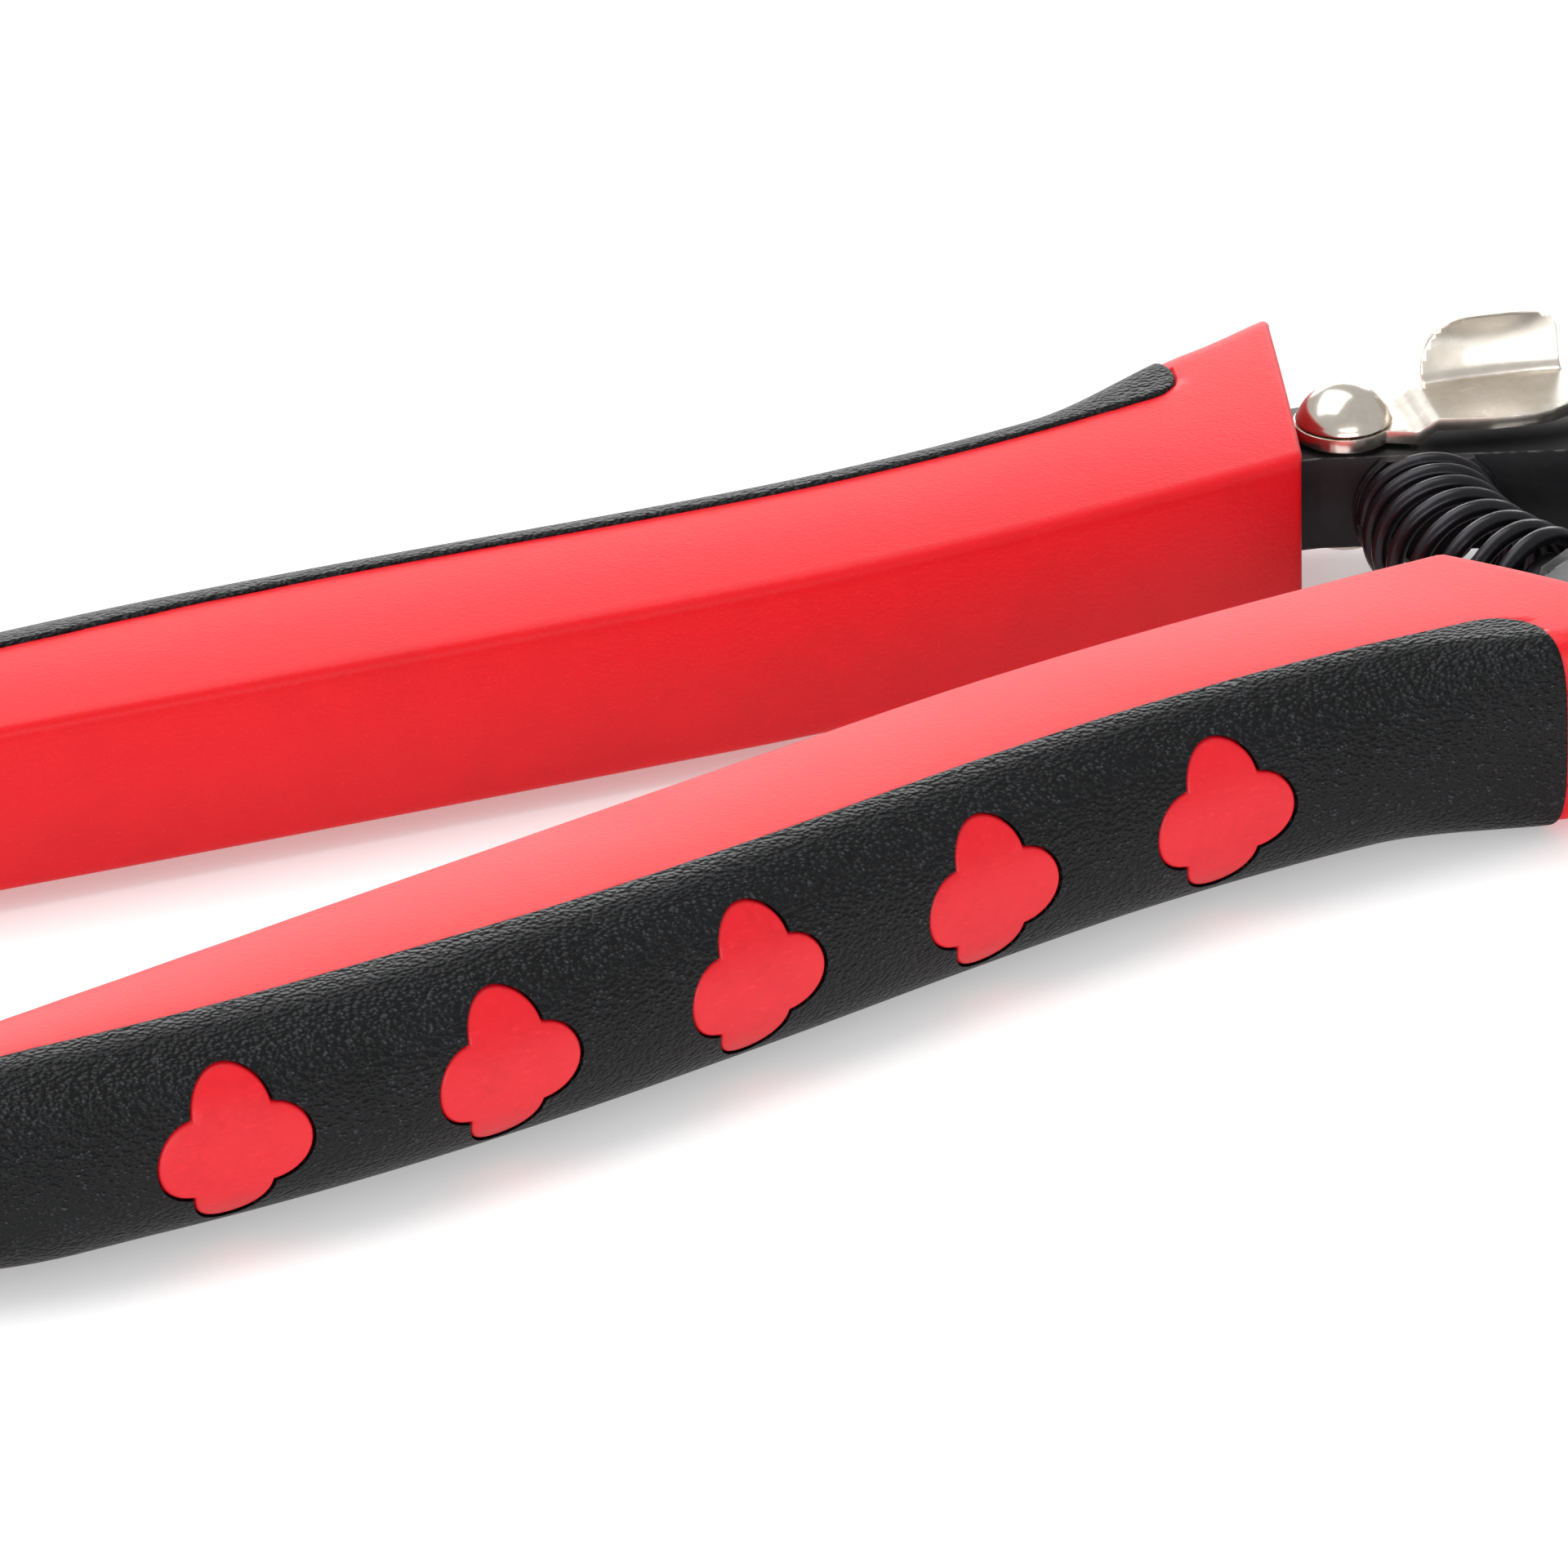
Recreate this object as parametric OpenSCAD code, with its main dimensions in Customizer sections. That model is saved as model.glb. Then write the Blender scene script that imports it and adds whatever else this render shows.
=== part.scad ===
// Compact spring-opened bolt cutters with moulded two-tone grips and a thumb latch.
// The handle pivot is at the origin. +X runs to the jaw tips, +Y to the handle that
// carries the latch, and +Z is the pivot axis, up from the mid-plane of the tool.
// Everything is drawn at rest: the spring holds the grips apart, the latch is released.

/* [Opening] */
// Angle that each handle turns from rest until the blades meet, degrees
close_angle = 6; // [5:0.5:6.5]
// Angle that each jaw turns for one degree of its handle
jaw_ratio = 1.09; // [1.02:0.01:1.15]

/* [Grips] */
// Thickness of the moulded sleeves at their inner faces
grip_t = 16; // [14:0.5:20]
// How much each face rises from the inner edge to the line of the soft grip
crown = 1; // [0.4:0.1:1.4]
// Distance from the handle pivot to the butt of the grips
grip_reach = 208; // [196:1:250]
// How far the soft grip stands proud of the hard core
grip_proud = 0.35; // [0.1:0.05:0.6]
// Thickness of the soft grip over the core's rib
grip_wall = 3.2; // [2.6:0.1:3.6]
// Fillet along the inner edges of the sleeve
core_fillet = 1.2; // [0.6:0.1:2]
// Angle of the cut at the head end of the sleeves, degrees
sleeve_cut = 24.2; // [18:0.2:32]
// Place of that cut along X, at the midline of the tool
sleeve_end = -43.1; // [-46:0.1:-42.8]
// Clearance between a sleeve and the tang inside it
bond = 0.05; // [0.02:0.01:0.1]

/* [Inlays] */
// Number of clover inlays on each grip
inlay_count = 5; // [3:1:6]
// Distance between clover centres
inlay_pitch = 25; // [20:0.5:30]
// Place of the first clover along X
inlay_first = -73.5; // [-80:0.5:-66]
// Radius of a clover's lobes
lobe_r = 3.6; // [2.4:0.1:4]
// Distance from a clover's centre to the centre of each lobe
lobe_out = 3.4; // [2.4:0.1:3.8]
// Open line around each clover
inlay_gap = 0.2; // [0.1:0.05:0.35]

/* [Tangs] */
// Thickness of the steel tangs
tang_t = 9; // [7.5:0.1:10]
// Slope of the tangs' inner faces at rest, degrees from the midline
tang_slope = 27; // [25:0.5:30]
// Width of the tangs where they enter the sleeves
tang_w = 10.4; // [9.5:0.1:11.5]
// Distance from the handle pivot to the buried ends of the tangs
tang_reach = 122; // [100:1:150]
// Radius of the lapped discs at the handle pivot
disc_r = 7.5; // [7:0.1:8]
// Radius of the hidden pins that key the tangs into the sleeves
key_r = 2; // [1.5:0.1:3]

/* [Linkage] */
// Tail pins ahead of the handle pivot
tail_x = 11; // [10.5:0.1:12]
// Tail pins out from the midline
tail_y = 12; // [11.5:0.1:13]
// Jaw bolts ahead of the tail pins
bolt_dx = 10; // [9.8:0.1:11]
// Jaw bolts out from the midline
bolt_y = 7; // [6.6:0.1:7.2]
// Radius of the handle pivot bolt
pivot_r = 3.5; // [2.6:0.1:3.9]
// Radius of the jaw bolts
bolt_r = 2.9; // [2.4:0.1:3.3]
// Radius of the tail pins
tail_pin_r = 2.2; // [1.7:0.1:2.6]
// Radial running clearance of the pins
running = 0.06; // [0.03:0.01:0.09]
// Radial clearance of the second jaw bolt
free_fit = 0.15; // [0.12:0.01:0.2]

/* [Jaws] */
// Thickness of the jaws
jaw_t = 6; // [5:0.1:6.2]
// Length of the jaws ahead of their bolts
jaw_len = 27; // [22:0.5:34]
// Thickness of the jaw tails inside the tang forks
tail_t = 3.8; // [3:0.1:4.4]
// Depth of the bevels beside the cutting edges
bevel_depth = 3.2; // [2:0.1:4.5]
// Distance from each cutting edge to the midline when the blades meet
edge_gap = 0.06; // [0.03:0.01:0.1]
// Thickness of the link plates
plate_t = 2.5; // [2:0.1:2.7]

/* [Spring] */
// Outside diameter of the spring
spring_od = 13.6; // [11.5:0.1:13.8]
// Wire diameter of the spring
wire_d = 1.4; // [1:0.1:1.6]
// Number of coils
coils = 8; // [5:0.5:9]
// Distance from the handle pivot to the middle of the spring
spring_arm = 27.4; // [26:0.1:28.5]
// How far the middle of the spring lies below the mid-plane
spring_drop = 0.9; // [0.8:0.05:1]

/* [Latch] */
// Place of the latch rivet along X
rivet_x = -28.8; // [-29.2:0.1:-28]
// Place of the latch rivet out from the midline
rivet_y = 19.8; // [19.4:0.1:20.2]
// Radius of the rivet's domed head
dome_r = 4.4; // [3.6:0.1:4.6]
// Height of the rivet's domed head
dome_h = 3.5; // [2:0.1:3.8]
// Thickness of the latch plate
latch_t = 1.2; // [0.8:0.1:1.4]
// Step up in the latch plate, which carries it over the spring
latch_step = 1.2; // [1:0.05:1.5]
// Distance from the rivet to the hook's notch
hook_reach = 30; // [29.6:0.1:30.2]
// Direction of the hook's notch from the rivet at rest, degrees
hook_angle = -16; // [-18:0.5:-14]
// Radius of the keeper stud
keeper_r = 1.5; // [1.2:0.1:1.7]

/* [Hidden] */
$fn = 48;

black_steel = "#1d1e22";
bright_steel = "#c9c4bb";
core_red = "#d3122c";
grip_black = "#17181a";

half_t = grip_t / 2;
tang_z = tang_t / 2;
lap_gap = 0.1;
fork_r = 4.8;
boss_r = 6;
plate_z = jaw_t / 2 + 0.05;
bolt_x = tail_x + bolt_dx;
jaw_angle = jaw_ratio * close_angle;
seat_t = 1.2;
seat_r = 4.5;
washer_t = 0.4;
rivet_r = 2.2;
plate_lift = tang_z + washer_t + 0.05;
spring_half = tang_slope - (seat_t + wire_d / 2 + 0.02) / spring_arm * 180 / PI;

// Outlines of the far sleeve in plan, from the head end to the butt.
inner_edge = [[-10, 13], [-38, 11.5], [-64, 11.3], [-85, 12.4], [-105, 14.8],
    [-150, 20.9], [-186, 26], [-208, 29]];
outer_edge = [[-10, 40.2], [-24, 40], [-36, 36.9], [-56, 34.2], [-78, 34.3], [-100, 36.9],
    [-125, 40.7], [-148, 43.7], [-166, 44.5], [-186, 43.4], [-208, 41]];
// Line between the hard core's flat panel and the soft grip.
panel_edge = [[-40, 27.8], [-60, 26.6], [-78, 27], [-95, 28.8], [-115, 31.7],
    [-135, 34], [-152, 35], [-168, 35.5], [-180, 35.3], [-192, 34.4], [-200, 33]];

// Height of a smooth curve through points that run towards -X.
function seg(p, x, i = 0) = i >= len(p) - 2 || x >= p[i + 1][0] ? i : seg(p, x, i + 1);
function slope(p, i) =
    let (a = max(i - 1, 0), b = min(i + 1, len(p) - 1))
    (p[b][1] - p[a][1]) / (p[b][0] - p[a][0]);
function curve(p, x) =
    let (i = seg(p, x), d = p[i + 1][0] - p[i][0], u = (x - p[i][0]) / d,
        m0 = slope(p, i) * d, m1 = slope(p, i + 1) * d)
    (2 * u ^ 3 - 3 * u ^ 2 + 1) * p[i][1] + (u ^ 3 - 2 * u ^ 2 + u) * m0
    + (3 * u ^ 2 - 2 * u ^ 3) * p[i + 1][1] + (u ^ 3 - u ^ 2) * m1;
// The grips are stretched along X behind this place when their reach changes.
stretch_from = -186;
drawn_reach = 208;
function unstretch(x) =
    x >= stretch_from ? x
        : stretch_from + (x - stretch_from) * (drawn_reach + stretch_from) / (grip_reach + stretch_from);
function stretch(x) =
    stretch_from + (x - stretch_from) * (grip_reach + stretch_from) / (drawn_reach + stretch_from);
function inner_y(x) = curve(inner_edge, unstretch(x));
function outer_y(x) = curve(outer_edge, unstretch(x));
// The butt is a rounded end: full size until its start, then an ellipse.
function butt(x, reach) =
    x >= stretch_from ? 1 : sqrt(max(0, 1 - ((x - stretch_from) / (-reach - stretch_from)) ^ 2));

// The outer side is boxy at the head end and becomes one deep round behind it.
boxy_from = -36;
boxy_to = -56;
boxy_round = 4;
function boxy(x) =
    let (u = min(1, max(0, (x - boxy_to) / (boxy_from - boxy_to)))) u * u * (3 - 2 * u);
function round_at(x) =
    boxy_round * boxy(x) + (outer_y(x) - curve(panel_edge, max(-180, min(-40, x)))) * (1 - boxy(x));

// One cross-section of the sleeve: tight fillets inside, a deep round outside.
function section(x, grow) =
    let (k = butt(x, grip_reach + grow), mid = (inner_y(x) + outer_y(x)) / 2,
        hw = (outer_y(x) - inner_y(x)) / 2 * k + grow, thin = 0.25 + 0.75 * k,
        h = half_t * thin + grow * k, crest = (half_t + crown) * thin + grow * k,
        r = core_fillet, w = min(round_at(x) * k + grow, 2 * hw - 2 * r), e = 1 - 0.4 * boxy(x))
    concat(
        [for (a = [180:30:270]) [x, mid - hw + r + r * cos(a), -h + r + r * sin(a)]],
        [for (a = [-90:15:90])
            [x, mid + hw - w + w * abs(cos(a)) ^ e, crest * sign(sin(a)) * abs(sin(a)) ^ e]],
        [for (a = [90:30:180]) [x, mid - hw + r + r * cos(a), h - r + r * sin(a)]]);

// Solid through a list of rings that all have the same number of points.
module loft(rings) {
    n = len(rings[0]);
    m = len(rings);
    polyhedron(
        points = [for (r = rings) each r],
        faces = concat([[for (i = [0:n - 1]) i]], [[for (i = [0:n - 1]) m * n - 1 - i]],
            [for (j = [0:m - 2], i = [0:n - 1])
                let (k = (i + 1) % n, a = j * n, b = a + n) [a + i, b + i, b + k, a + k]]),
        convexity = 6);
}

stations = concat([for (x = [-12:-6:stretch_from]) x],
    [for (k = [0.2, 0.4, 0.58, 0.74, 0.86, 0.94, 0.985]) stretch_from - k * (grip_reach + stretch_from)]);
module envelope(grow) {
    intersection() {
        loft([for (x = stations) section(x, grow)]);
        rotate(-sleeve_cut) translate([-400 + sleeve_end * cos(sleeve_cut), -100, -50]) cube([400, 300, 100]);
    }
}

// Plan area that the soft grip covers: its outer side, and all of the butt.
grip_head = -41;
corner_r = 4.5;
// Rounded tip of the core's flat panel, near the butt.
nose_x = -195;
nose_y = 26;
nose_r = 9;
function stretch_behind(x) = x < stretch_from ? stretch(x) : x;
module grip_area() {
    tip_y = curve(panel_edge, grip_head);
    polygon(concat(
        [for (a = [0:15:90])
            [grip_head - corner_r + corner_r * sin(a), tip_y + corner_r - corner_r * cos(a)]],
        [[grip_head, 90], [-400, 90], [-400, -20], [stretch(nose_x - nose_r), -20]],
        [for (a = [0:15:75])
            [stretch(nose_x - nose_r * cos(a)), nose_y + (curve(panel_edge, nose_x) - nose_y) * sin(a)]],
        [for (x = [-190:5:-50]) [stretch_behind(x), curve(panel_edge, x)]]));
}
// The core's rib, which carries the soft grip.
module rib() {
    tail = 12;
    linear_extrude(half_t * 1.36, center = true) polygon(concat(
        [for (x = [-30:-6:-186]) [x, outer_y(x) - grip_wall]],
        [[-grip_reach + tail, outer_y(-190) - grip_wall - 5], [-grip_reach + tail, inner_y(-190) + 7]],
        [for (x = [-186:6:-30]) [x, inner_y(x) + 5]]));
}

// Directions along and square to the far tang's inner face.
inner_dir = [-cos(tang_slope), sin(tang_slope)];

// One tang with its lapped disc, its fork and its holes, drawn as the far handle's:
// the disc keeps its lower half. The near tang is the same blank turned over.
module tang_blank(seat_z) {
    difference() {
        union() {
            linear_extrude(tang_t, center = true) tang_plan();
            cylinder(r = disc_r, h = tang_t, center = true);
            translate([tail_x, tail_y, 0]) cylinder(r = fork_r, h = tang_t, center = true);
        }
        translate([0, 0, -lap_gap]) cylinder(r = disc_r + 0.4, h = tang_t);
        cylinder(r = pivot_r + running, h = 3 * tang_t, center = true);
        translate([tail_x, tail_y, 0]) {
            cylinder(r = tail_pin_r, h = 3 * tang_t, center = true);
            cylinder(r = fork_r + 0.9, h = tail_t + 0.3, center = true);
            translate([0, -fork_r - 0.9, -(tail_t + 0.3) / 2]) cube([20, 2 * fork_r + 1.8, tail_t + 0.3]);
        }
        key_place() cylinder(r = key_r, h = 3 * tang_t, center = true);
        seat_place(seat_z) cylinder(r = seat_stem_r, h = 2 * seat_stem_h, center = true);
    }
}
module tang_plan(grow = 0) {
    bar_end = [-tang_reach, (inner_y(-tang_reach) + outer_y(-tang_reach)) / 2 - tang_w / 2];
    neck = 37 * inner_dir + [-4, 1.2];
    front = [tail_x, tail_y] + fork_r * [-0.2, 0.97];
    offset(delta = grow) polygon([
        3 * inner_dir, 37 * inner_dir, neck, bar_end, bar_end + [0, tang_w * 0.8], neck + [0, tang_w],
        [rivet_x + 3, rivet_y + 7.2], [-14, 21], [-2, tail_y + 6.2],
        front, [tail_x, tail_y - fork_r], [5, 4]]);
}
key_x = -96;
module key_place() {
    translate([key_x, (inner_y(key_x) + outer_y(key_x)) / 2 - 0.5, 0]) children();
}
// Axis of a spring seat, square to the tang's inner face, pointing at the spring.
seat_stem_r = 1.6;
seat_stem_h = 1.2;
module seat_place(z) {
    translate([spring_arm * inner_dir[0], spring_arm * inner_dir[1], z])
        rotate(90 - tang_slope) rotate([0, -90, 0]) children();
}
module near_side() { mirror([0, 1, 0]) children(); }

module far_tang() {
    color(black_steel) difference() {
        tang_blank(-spring_drop);
        translate([rivet_x, rivet_y, 0]) cylinder(r = rivet_r, h = 3 * tang_t, center = true);
    }
}
module near_tang() {
    color(black_steel) difference() {
        near_side() mirror([0, 0, 1]) tang_blank(spring_drop);
        keeper_place() cylinder(r = keeper_r, h = 3 * tang_t, center = true);
    }
}

module core_blank() {
    difference() {
        envelope(0);
        difference() {
            linear_extrude(3 * grip_t, center = true) grip_area();
            rib();
        }
        linear_extrude(tang_t + 2 * bond, center = true) tang_plan(bond);
        key_place() cylinder(r = key_r, h = tang_t + 3, center = true);
    }
}
module grip_blank() {
    difference() {
        intersection() {
            envelope(grip_proud);
            linear_extrude(3 * grip_t, center = true) grip_area();
        }
        rib();
        for (i = [1:inlay_count]) inlay_place(i) clover(inlay_gap);
    }
}
// Clover inlays sit square to the outer side of the grip, in windows cut from behind it.
inlay_back = 3;
function inlay_x(i) = inlay_first - (i - 1) * inlay_pitch;
module inlay_place(i) {
    x = inlay_x(i);
    lean = atan((outer_y(x + 2) - outer_y(x - 2)) / 4);
    translate([x, outer_y(x) - grip_wall - inlay_back, 0]) rotate(lean) rotate([-90, 0, 0]) children();
}
module clover(gap) {
    linear_extrude(12) {
        for (a = [0:90:270]) rotate(a) translate([lobe_out, 0]) circle(r = lobe_r + gap);
        circle(r = lobe_r + gap);
    }
}
module inlay_blank(i) {
    intersection() {
        envelope(grip_proud);
        inlay_place(i) translate([0, 0, inlay_back + inlay_gap]) clover(0);
    }
}
module key_pin_blank() { key_place() cylinder(r = key_r, h = tang_t + 3, center = true); }

module far_core() { color(core_red) core_blank(); }
module near_core() { color(core_red) near_side() core_blank(); }
module far_grip() { color(grip_black) grip_blank(); }
module near_grip() { color(grip_black) near_side() grip_blank(); }
module far_inlay(i) { color(core_red) inlay_blank(i); }
module near_inlay(i) { color(core_red) near_side() inlay_blank(i); }
module far_key_pin() { color(bright_steel) key_pin_blank(); }
module near_key_pin() { color(bright_steel) near_side() key_pin_blank(); }

// Low round head with a hex socket on a plain shank, head up at height top.
module bolt(shank, head, head_h, top, length, socket) {
    difference() {
        union() {
            translate([0, 0, top - length]) cylinder(r = shank, h = length);
            translate([0, 0, top]) cylinder(r = head, h = head_h);
        }
        translate([0, 0, top + head_h - socket]) cylinder(r = shank * 0.75, h = socket + 1, $fn = 6);
    }
}
module nut(shank, across, h, top) {
    translate([0, 0, top - h]) difference() {
        cylinder(r = across / sqrt(3), h = h, $fn = 6);
        translate([0, 0, -1]) cylinder(r = shank + 0.01, h = h + 2);
    }
}
pivot_head_r = 6;
pivot_head_h = 1.4;
nut_h = 2.6;
module pivot_bolt() {
    color(black_steel) bolt(pivot_r, pivot_head_r, pivot_head_h, tang_z, tang_t + nut_h, 1);
}
module pivot_nut() { color(black_steel) nut(pivot_r, 12, nut_h, -tang_z); }
module tail_pin_blank() {
    translate([tail_x, tail_y, 0]) {
        cylinder(r = tail_pin_r, h = tang_t, center = true);
        for (s = [0, 1]) mirror([0, 0, s]) translate([0, 0, tang_z]) cylinder(r1 = 3.6, r2 = 2.8, h = 1.1);
    }
}
module far_tail_pin() { color(bright_steel) tail_pin_blank(); }
module near_tail_pin() { color(bright_steel) near_side() tail_pin_blank(); }

// The far jaw as it lies when the blades meet, with its bolt at the origin.
tail_vec = [tail_x - bolt_x, tail_y - bolt_y];
function turn(v, a) = [v[0] * cos(a) - v[1] * sin(a), v[0] * sin(a) + v[1] * cos(a)];
shut_tail = turn(tail_vec, -jaw_angle);
edge_y = edge_gap - bolt_y;
module jaw_plan() {
    circle(r = boss_r);
    translate(shut_tail) circle(r = fork_r);
    polygon([
        shut_tail + [0.5, -4.6], [3, -5.4], [5.5, edge_y], [jaw_len, edge_y], [jaw_len + 0.6, edge_y + 3],
        [jaw_len - 5, edge_y + 9.5], [jaw_len * 0.5, 5.4], [4, 6.6], [-2, 7.4], shut_tail + [0.5, 4.6]]);
}
module bevels() {
    for (s = [0, 1]) mirror([0, 0, s])
        translate([8, edge_y, 0.25]) rotate([atan((jaw_t / 2 - 0.25) / bevel_depth), 0, 0])
            translate([0, -10, 0]) cube([jaw_len, 20, 10]);
}
module jaw_blank(hole) {
    translate([bolt_x, bolt_y, 0]) rotate(jaw_angle) difference() {
        linear_extrude(jaw_t, center = true) jaw_plan();
        bevels();
        cylinder(r = bolt_r + hole, h = 3 * jaw_t, center = true);
        translate(shut_tail) {
            cylinder(r = tail_pin_r + running, h = 3 * jaw_t, center = true);
            for (s = [0, 1]) mirror([0, 0, s])
                translate([0, 0, tail_t / 2]) cylinder(r = fork_r + 0.6, h = jaw_t);
        }
        // Shoulder that clears the fork's arms.
        for (s = [0, 1]) mirror([0, 0, s])
            translate([-20, -20, tail_t / 2]) cube([20.4 - boss_r, 40, jaw_t]);
    }
}
module far_jaw() { color(black_steel) jaw_blank(running); }
module near_jaw() { color(black_steel) near_side() jaw_blank(free_fit); }

module link_plate() {
    difference() {
        linear_extrude(plate_t) hull() {
            translate([bolt_x, bolt_y]) circle(r = boss_r);
            translate([bolt_x, -bolt_y]) circle(r = boss_r);
        }
        for (s = [-1, 1]) translate([bolt_x, s * bolt_y, -1]) cylinder(r = bolt_r + 0.02, h = plate_t + 2);
    }
}
module upper_plate() { color(black_steel) translate([0, 0, plate_z]) link_plate(); }
module lower_plate() { color(black_steel) mirror([0, 0, 1]) translate([0, 0, plate_z]) link_plate(); }
stack_z = plate_z + plate_t;
jaw_nut_h = 2;
module jaw_bolt_blank() {
    translate([bolt_x, bolt_y, 0]) bolt(bolt_r, 5, 2, stack_z, 2 * stack_z + jaw_nut_h, 1.4);
}
module jaw_nut_blank() { translate([bolt_x, bolt_y, 0]) nut(bolt_r, 10, jaw_nut_h, -stack_z); }
module far_jaw_bolt() { color(bright_steel) jaw_bolt_blank(); }
module near_jaw_bolt() { color(bright_steel) near_side() jaw_bolt_blank(); }
module far_jaw_nut() { color(bright_steel) jaw_nut_blank(); }
module near_jaw_nut() { color(bright_steel) near_side() jaw_nut_blank(); }

// The spring's middle line is an arc about the handle pivot, so its coils fan out.
turn_steps = 16;
wire_sides = 8;
module spring() {
    total = coils * turn_steps;
    mean_r = (spring_od - wire_d) / 2;
    color(black_steel) loft([for (k = [0:total])
        let (swing = 180 - spring_half + 2 * spring_half * k / total, a = 360 * k / turn_steps)
        [for (j = [0:wire_sides - 1])
            let (b = -360 * j / wire_sides, r = mean_r + wire_d / 2 * cos(b),
                out = spring_arm + r * cos(a), s = wire_d / 2 * sin(b))
            [out * cos(swing) - s * sin(swing), out * sin(swing) + s * cos(swing),
                r * sin(a) - spring_drop]]]);
}
// The seats are trimmed level with the tangs, so that the latch passes over them.
module seat_blank(z) {
    intersection() {
        seat_place(z) {
            translate([0, 0, -seat_stem_h]) cylinder(r = seat_stem_r, h = seat_stem_h + 0.1);
            cylinder(r = spring_od / 2, h = seat_t);
            cylinder(r = seat_r, h = seat_t + 3);
        }
        cube([4 * spring_arm, 4 * spring_arm, tang_t], center = true);
    }
}
module far_spring_seat() { color(black_steel) seat_blank(-spring_drop); }
module near_spring_seat() { color(black_steel) near_side() seat_blank(-spring_drop); }

// Latch: a flat plate that steps up past its rivet, with a hooked end and a thumb tab.
rivet_shut = turn([rivet_x, rivet_y], close_angle);
keeper_drop = -12.6;
keeper_shut = [rivet_shut[0] + sqrt(hook_reach ^ 2 - (rivet_shut[1] - keeper_drop) ^ 2), keeper_drop];
keeper_rest = turn(keeper_shut, close_angle);
module keeper_place() { translate([keeper_rest[0], keeper_rest[1], 0]) children(); }
hook_wall = 1.8;
notch_r = keeper_r + 0.15;
pad_r = 4.6;
ramp_at = 5.6;
step_at = 7.7;
arm_near = -5.7;
toe_near = -3.6;
toe_r = 2;
tab_fold = 2.4;
tab_from = 8.3;
tab_len = 12.9;
module latch_place() { translate([rivet_x, rivet_y, plate_lift]) rotate(hook_angle) children(); }
module arm_plan() {
    difference() {
        polygon(concat([[step_at, 3.2], [step_at, -4.6], [12, arm_near], [17, arm_near], [19.4, -4.9],
            [21, toe_near]],
            [for (a = [0:15:90])
                [hook_reach - 4.4 + toe_r * sin(a), toe_near + toe_r - toe_r * cos(a)]],
            [[hook_reach - notch_r, -notch_r], [hook_reach + notch_r, -3.4]],
            [for (a = [-30:12:30]) (hook_reach + notch_r + hook_wall) * [cos(a * 0.2), sin(a * 0.2)]],
            [[hook_reach - 2, 3.8], [tab_from + tab_len + 2, 3.6], [tab_from + tab_len, tab_fold + 0.1],
                [tab_from, tab_fold + 0.1]]));
        translate([hook_reach, 0]) circle(r = notch_r);
        translate([hook_reach - notch_r, -20]) square([2 * notch_r, 20]);
    }
}
module latch() {
    color(bright_steel) latch_place() difference() {
        union() {
            cylinder(r = pad_r, h = latch_t);
            linear_extrude(latch_t) polygon([[0, 3.2], [0, -pad_r], [ramp_at, -4.4], [ramp_at, 3.2]]);
            hull() {
                translate([ramp_at - 0.1, -4.4, 0]) cube([0.1, 7.6, latch_t]);
                translate([step_at, -4.6, latch_step]) cube([0.1, 7.8, latch_t]);
            }
            translate([0, 0, latch_step]) linear_extrude(latch_t) arm_plan();
            tab();
        }
        translate([0, 0, -1]) cylinder(r = rivet_r + running, h = 5);
    }
}
// Thumb tab, bent up from the arm's far edge and leaning out, with one shoulder rounded off.
tab_bend = 1.2;
tab_turn = 70;
tab_rise = 4.9;
tab_lean = 0.9;
tab_round = 5;
module tab() {
    bend_r = tab_bend + latch_t;
    knee = [bend_r * sin(tab_turn), bend_r - bend_r * cos(tab_turn)];
    top = knee[1] + tab_rise;
    translate([tab_from, tab_fold, latch_step]) intersection() {
        rotate([90, 0, 90]) linear_extrude(tab_len) polygon(concat(
            [[-1, 0]],
            [for (a = [0:10:tab_turn]) [bend_r * sin(a), bend_r - bend_r * cos(a)]],
            [knee + [tab_lean, tab_rise], knee + [tab_lean - latch_t, tab_rise + 0.2]],
            [for (a = [tab_turn:-10:0]) [tab_bend * sin(a), bend_r - tab_bend * cos(a)]],
            [[-1, latch_t]]));
        rotate([90, 0, 0]) linear_extrude(20, center = true) polygon(concat(
            [[0, -1], [tab_len, -1], [tab_len, top + 0.2]],
            [for (a = [0:15:90])
                [tab_round - tab_round * sin(a), top + 0.2 - tab_round + tab_round * cos(a)]]));
    }
}
module latch_rivet() {
    dome_ball = (dome_r ^ 2 + dome_h ^ 2) / (2 * dome_h);
    color(bright_steel) translate([rivet_x, rivet_y, 0]) {
        translate([0, 0, -tang_z - 0.01]) cylinder(r = rivet_r, h = tang_z + plate_lift + latch_t + 0.06);
        translate([0, 0, plate_lift + latch_t + 0.05]) intersection() {
            translate([0, 0, dome_h - dome_ball]) sphere(r = dome_ball);
            cylinder(r = dome_r + 1, h = dome_h + 1);
        }
        translate([0, 0, -tang_z - 1.1]) cylinder(r1 = 2.8, r2 = 3.6, h = 1.1);
    }
}
module latch_washer() {
    color(bright_steel) translate([rivet_x, rivet_y, tang_z]) difference() {
        cylinder(r = 4, h = washer_t);
        translate([0, 0, -1]) cylinder(r = rivet_r + 0.02, h = washer_t + 2);
    }
}
module keeper() {
    color(bright_steel) keeper_place() {
        cylinder(r = keeper_r, h = plate_lift + latch_step + latch_t + 0.4);
        translate([0, 0, -tang_z]) cylinder(r = keeper_r, h = tang_z + 1);
    }
}

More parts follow.
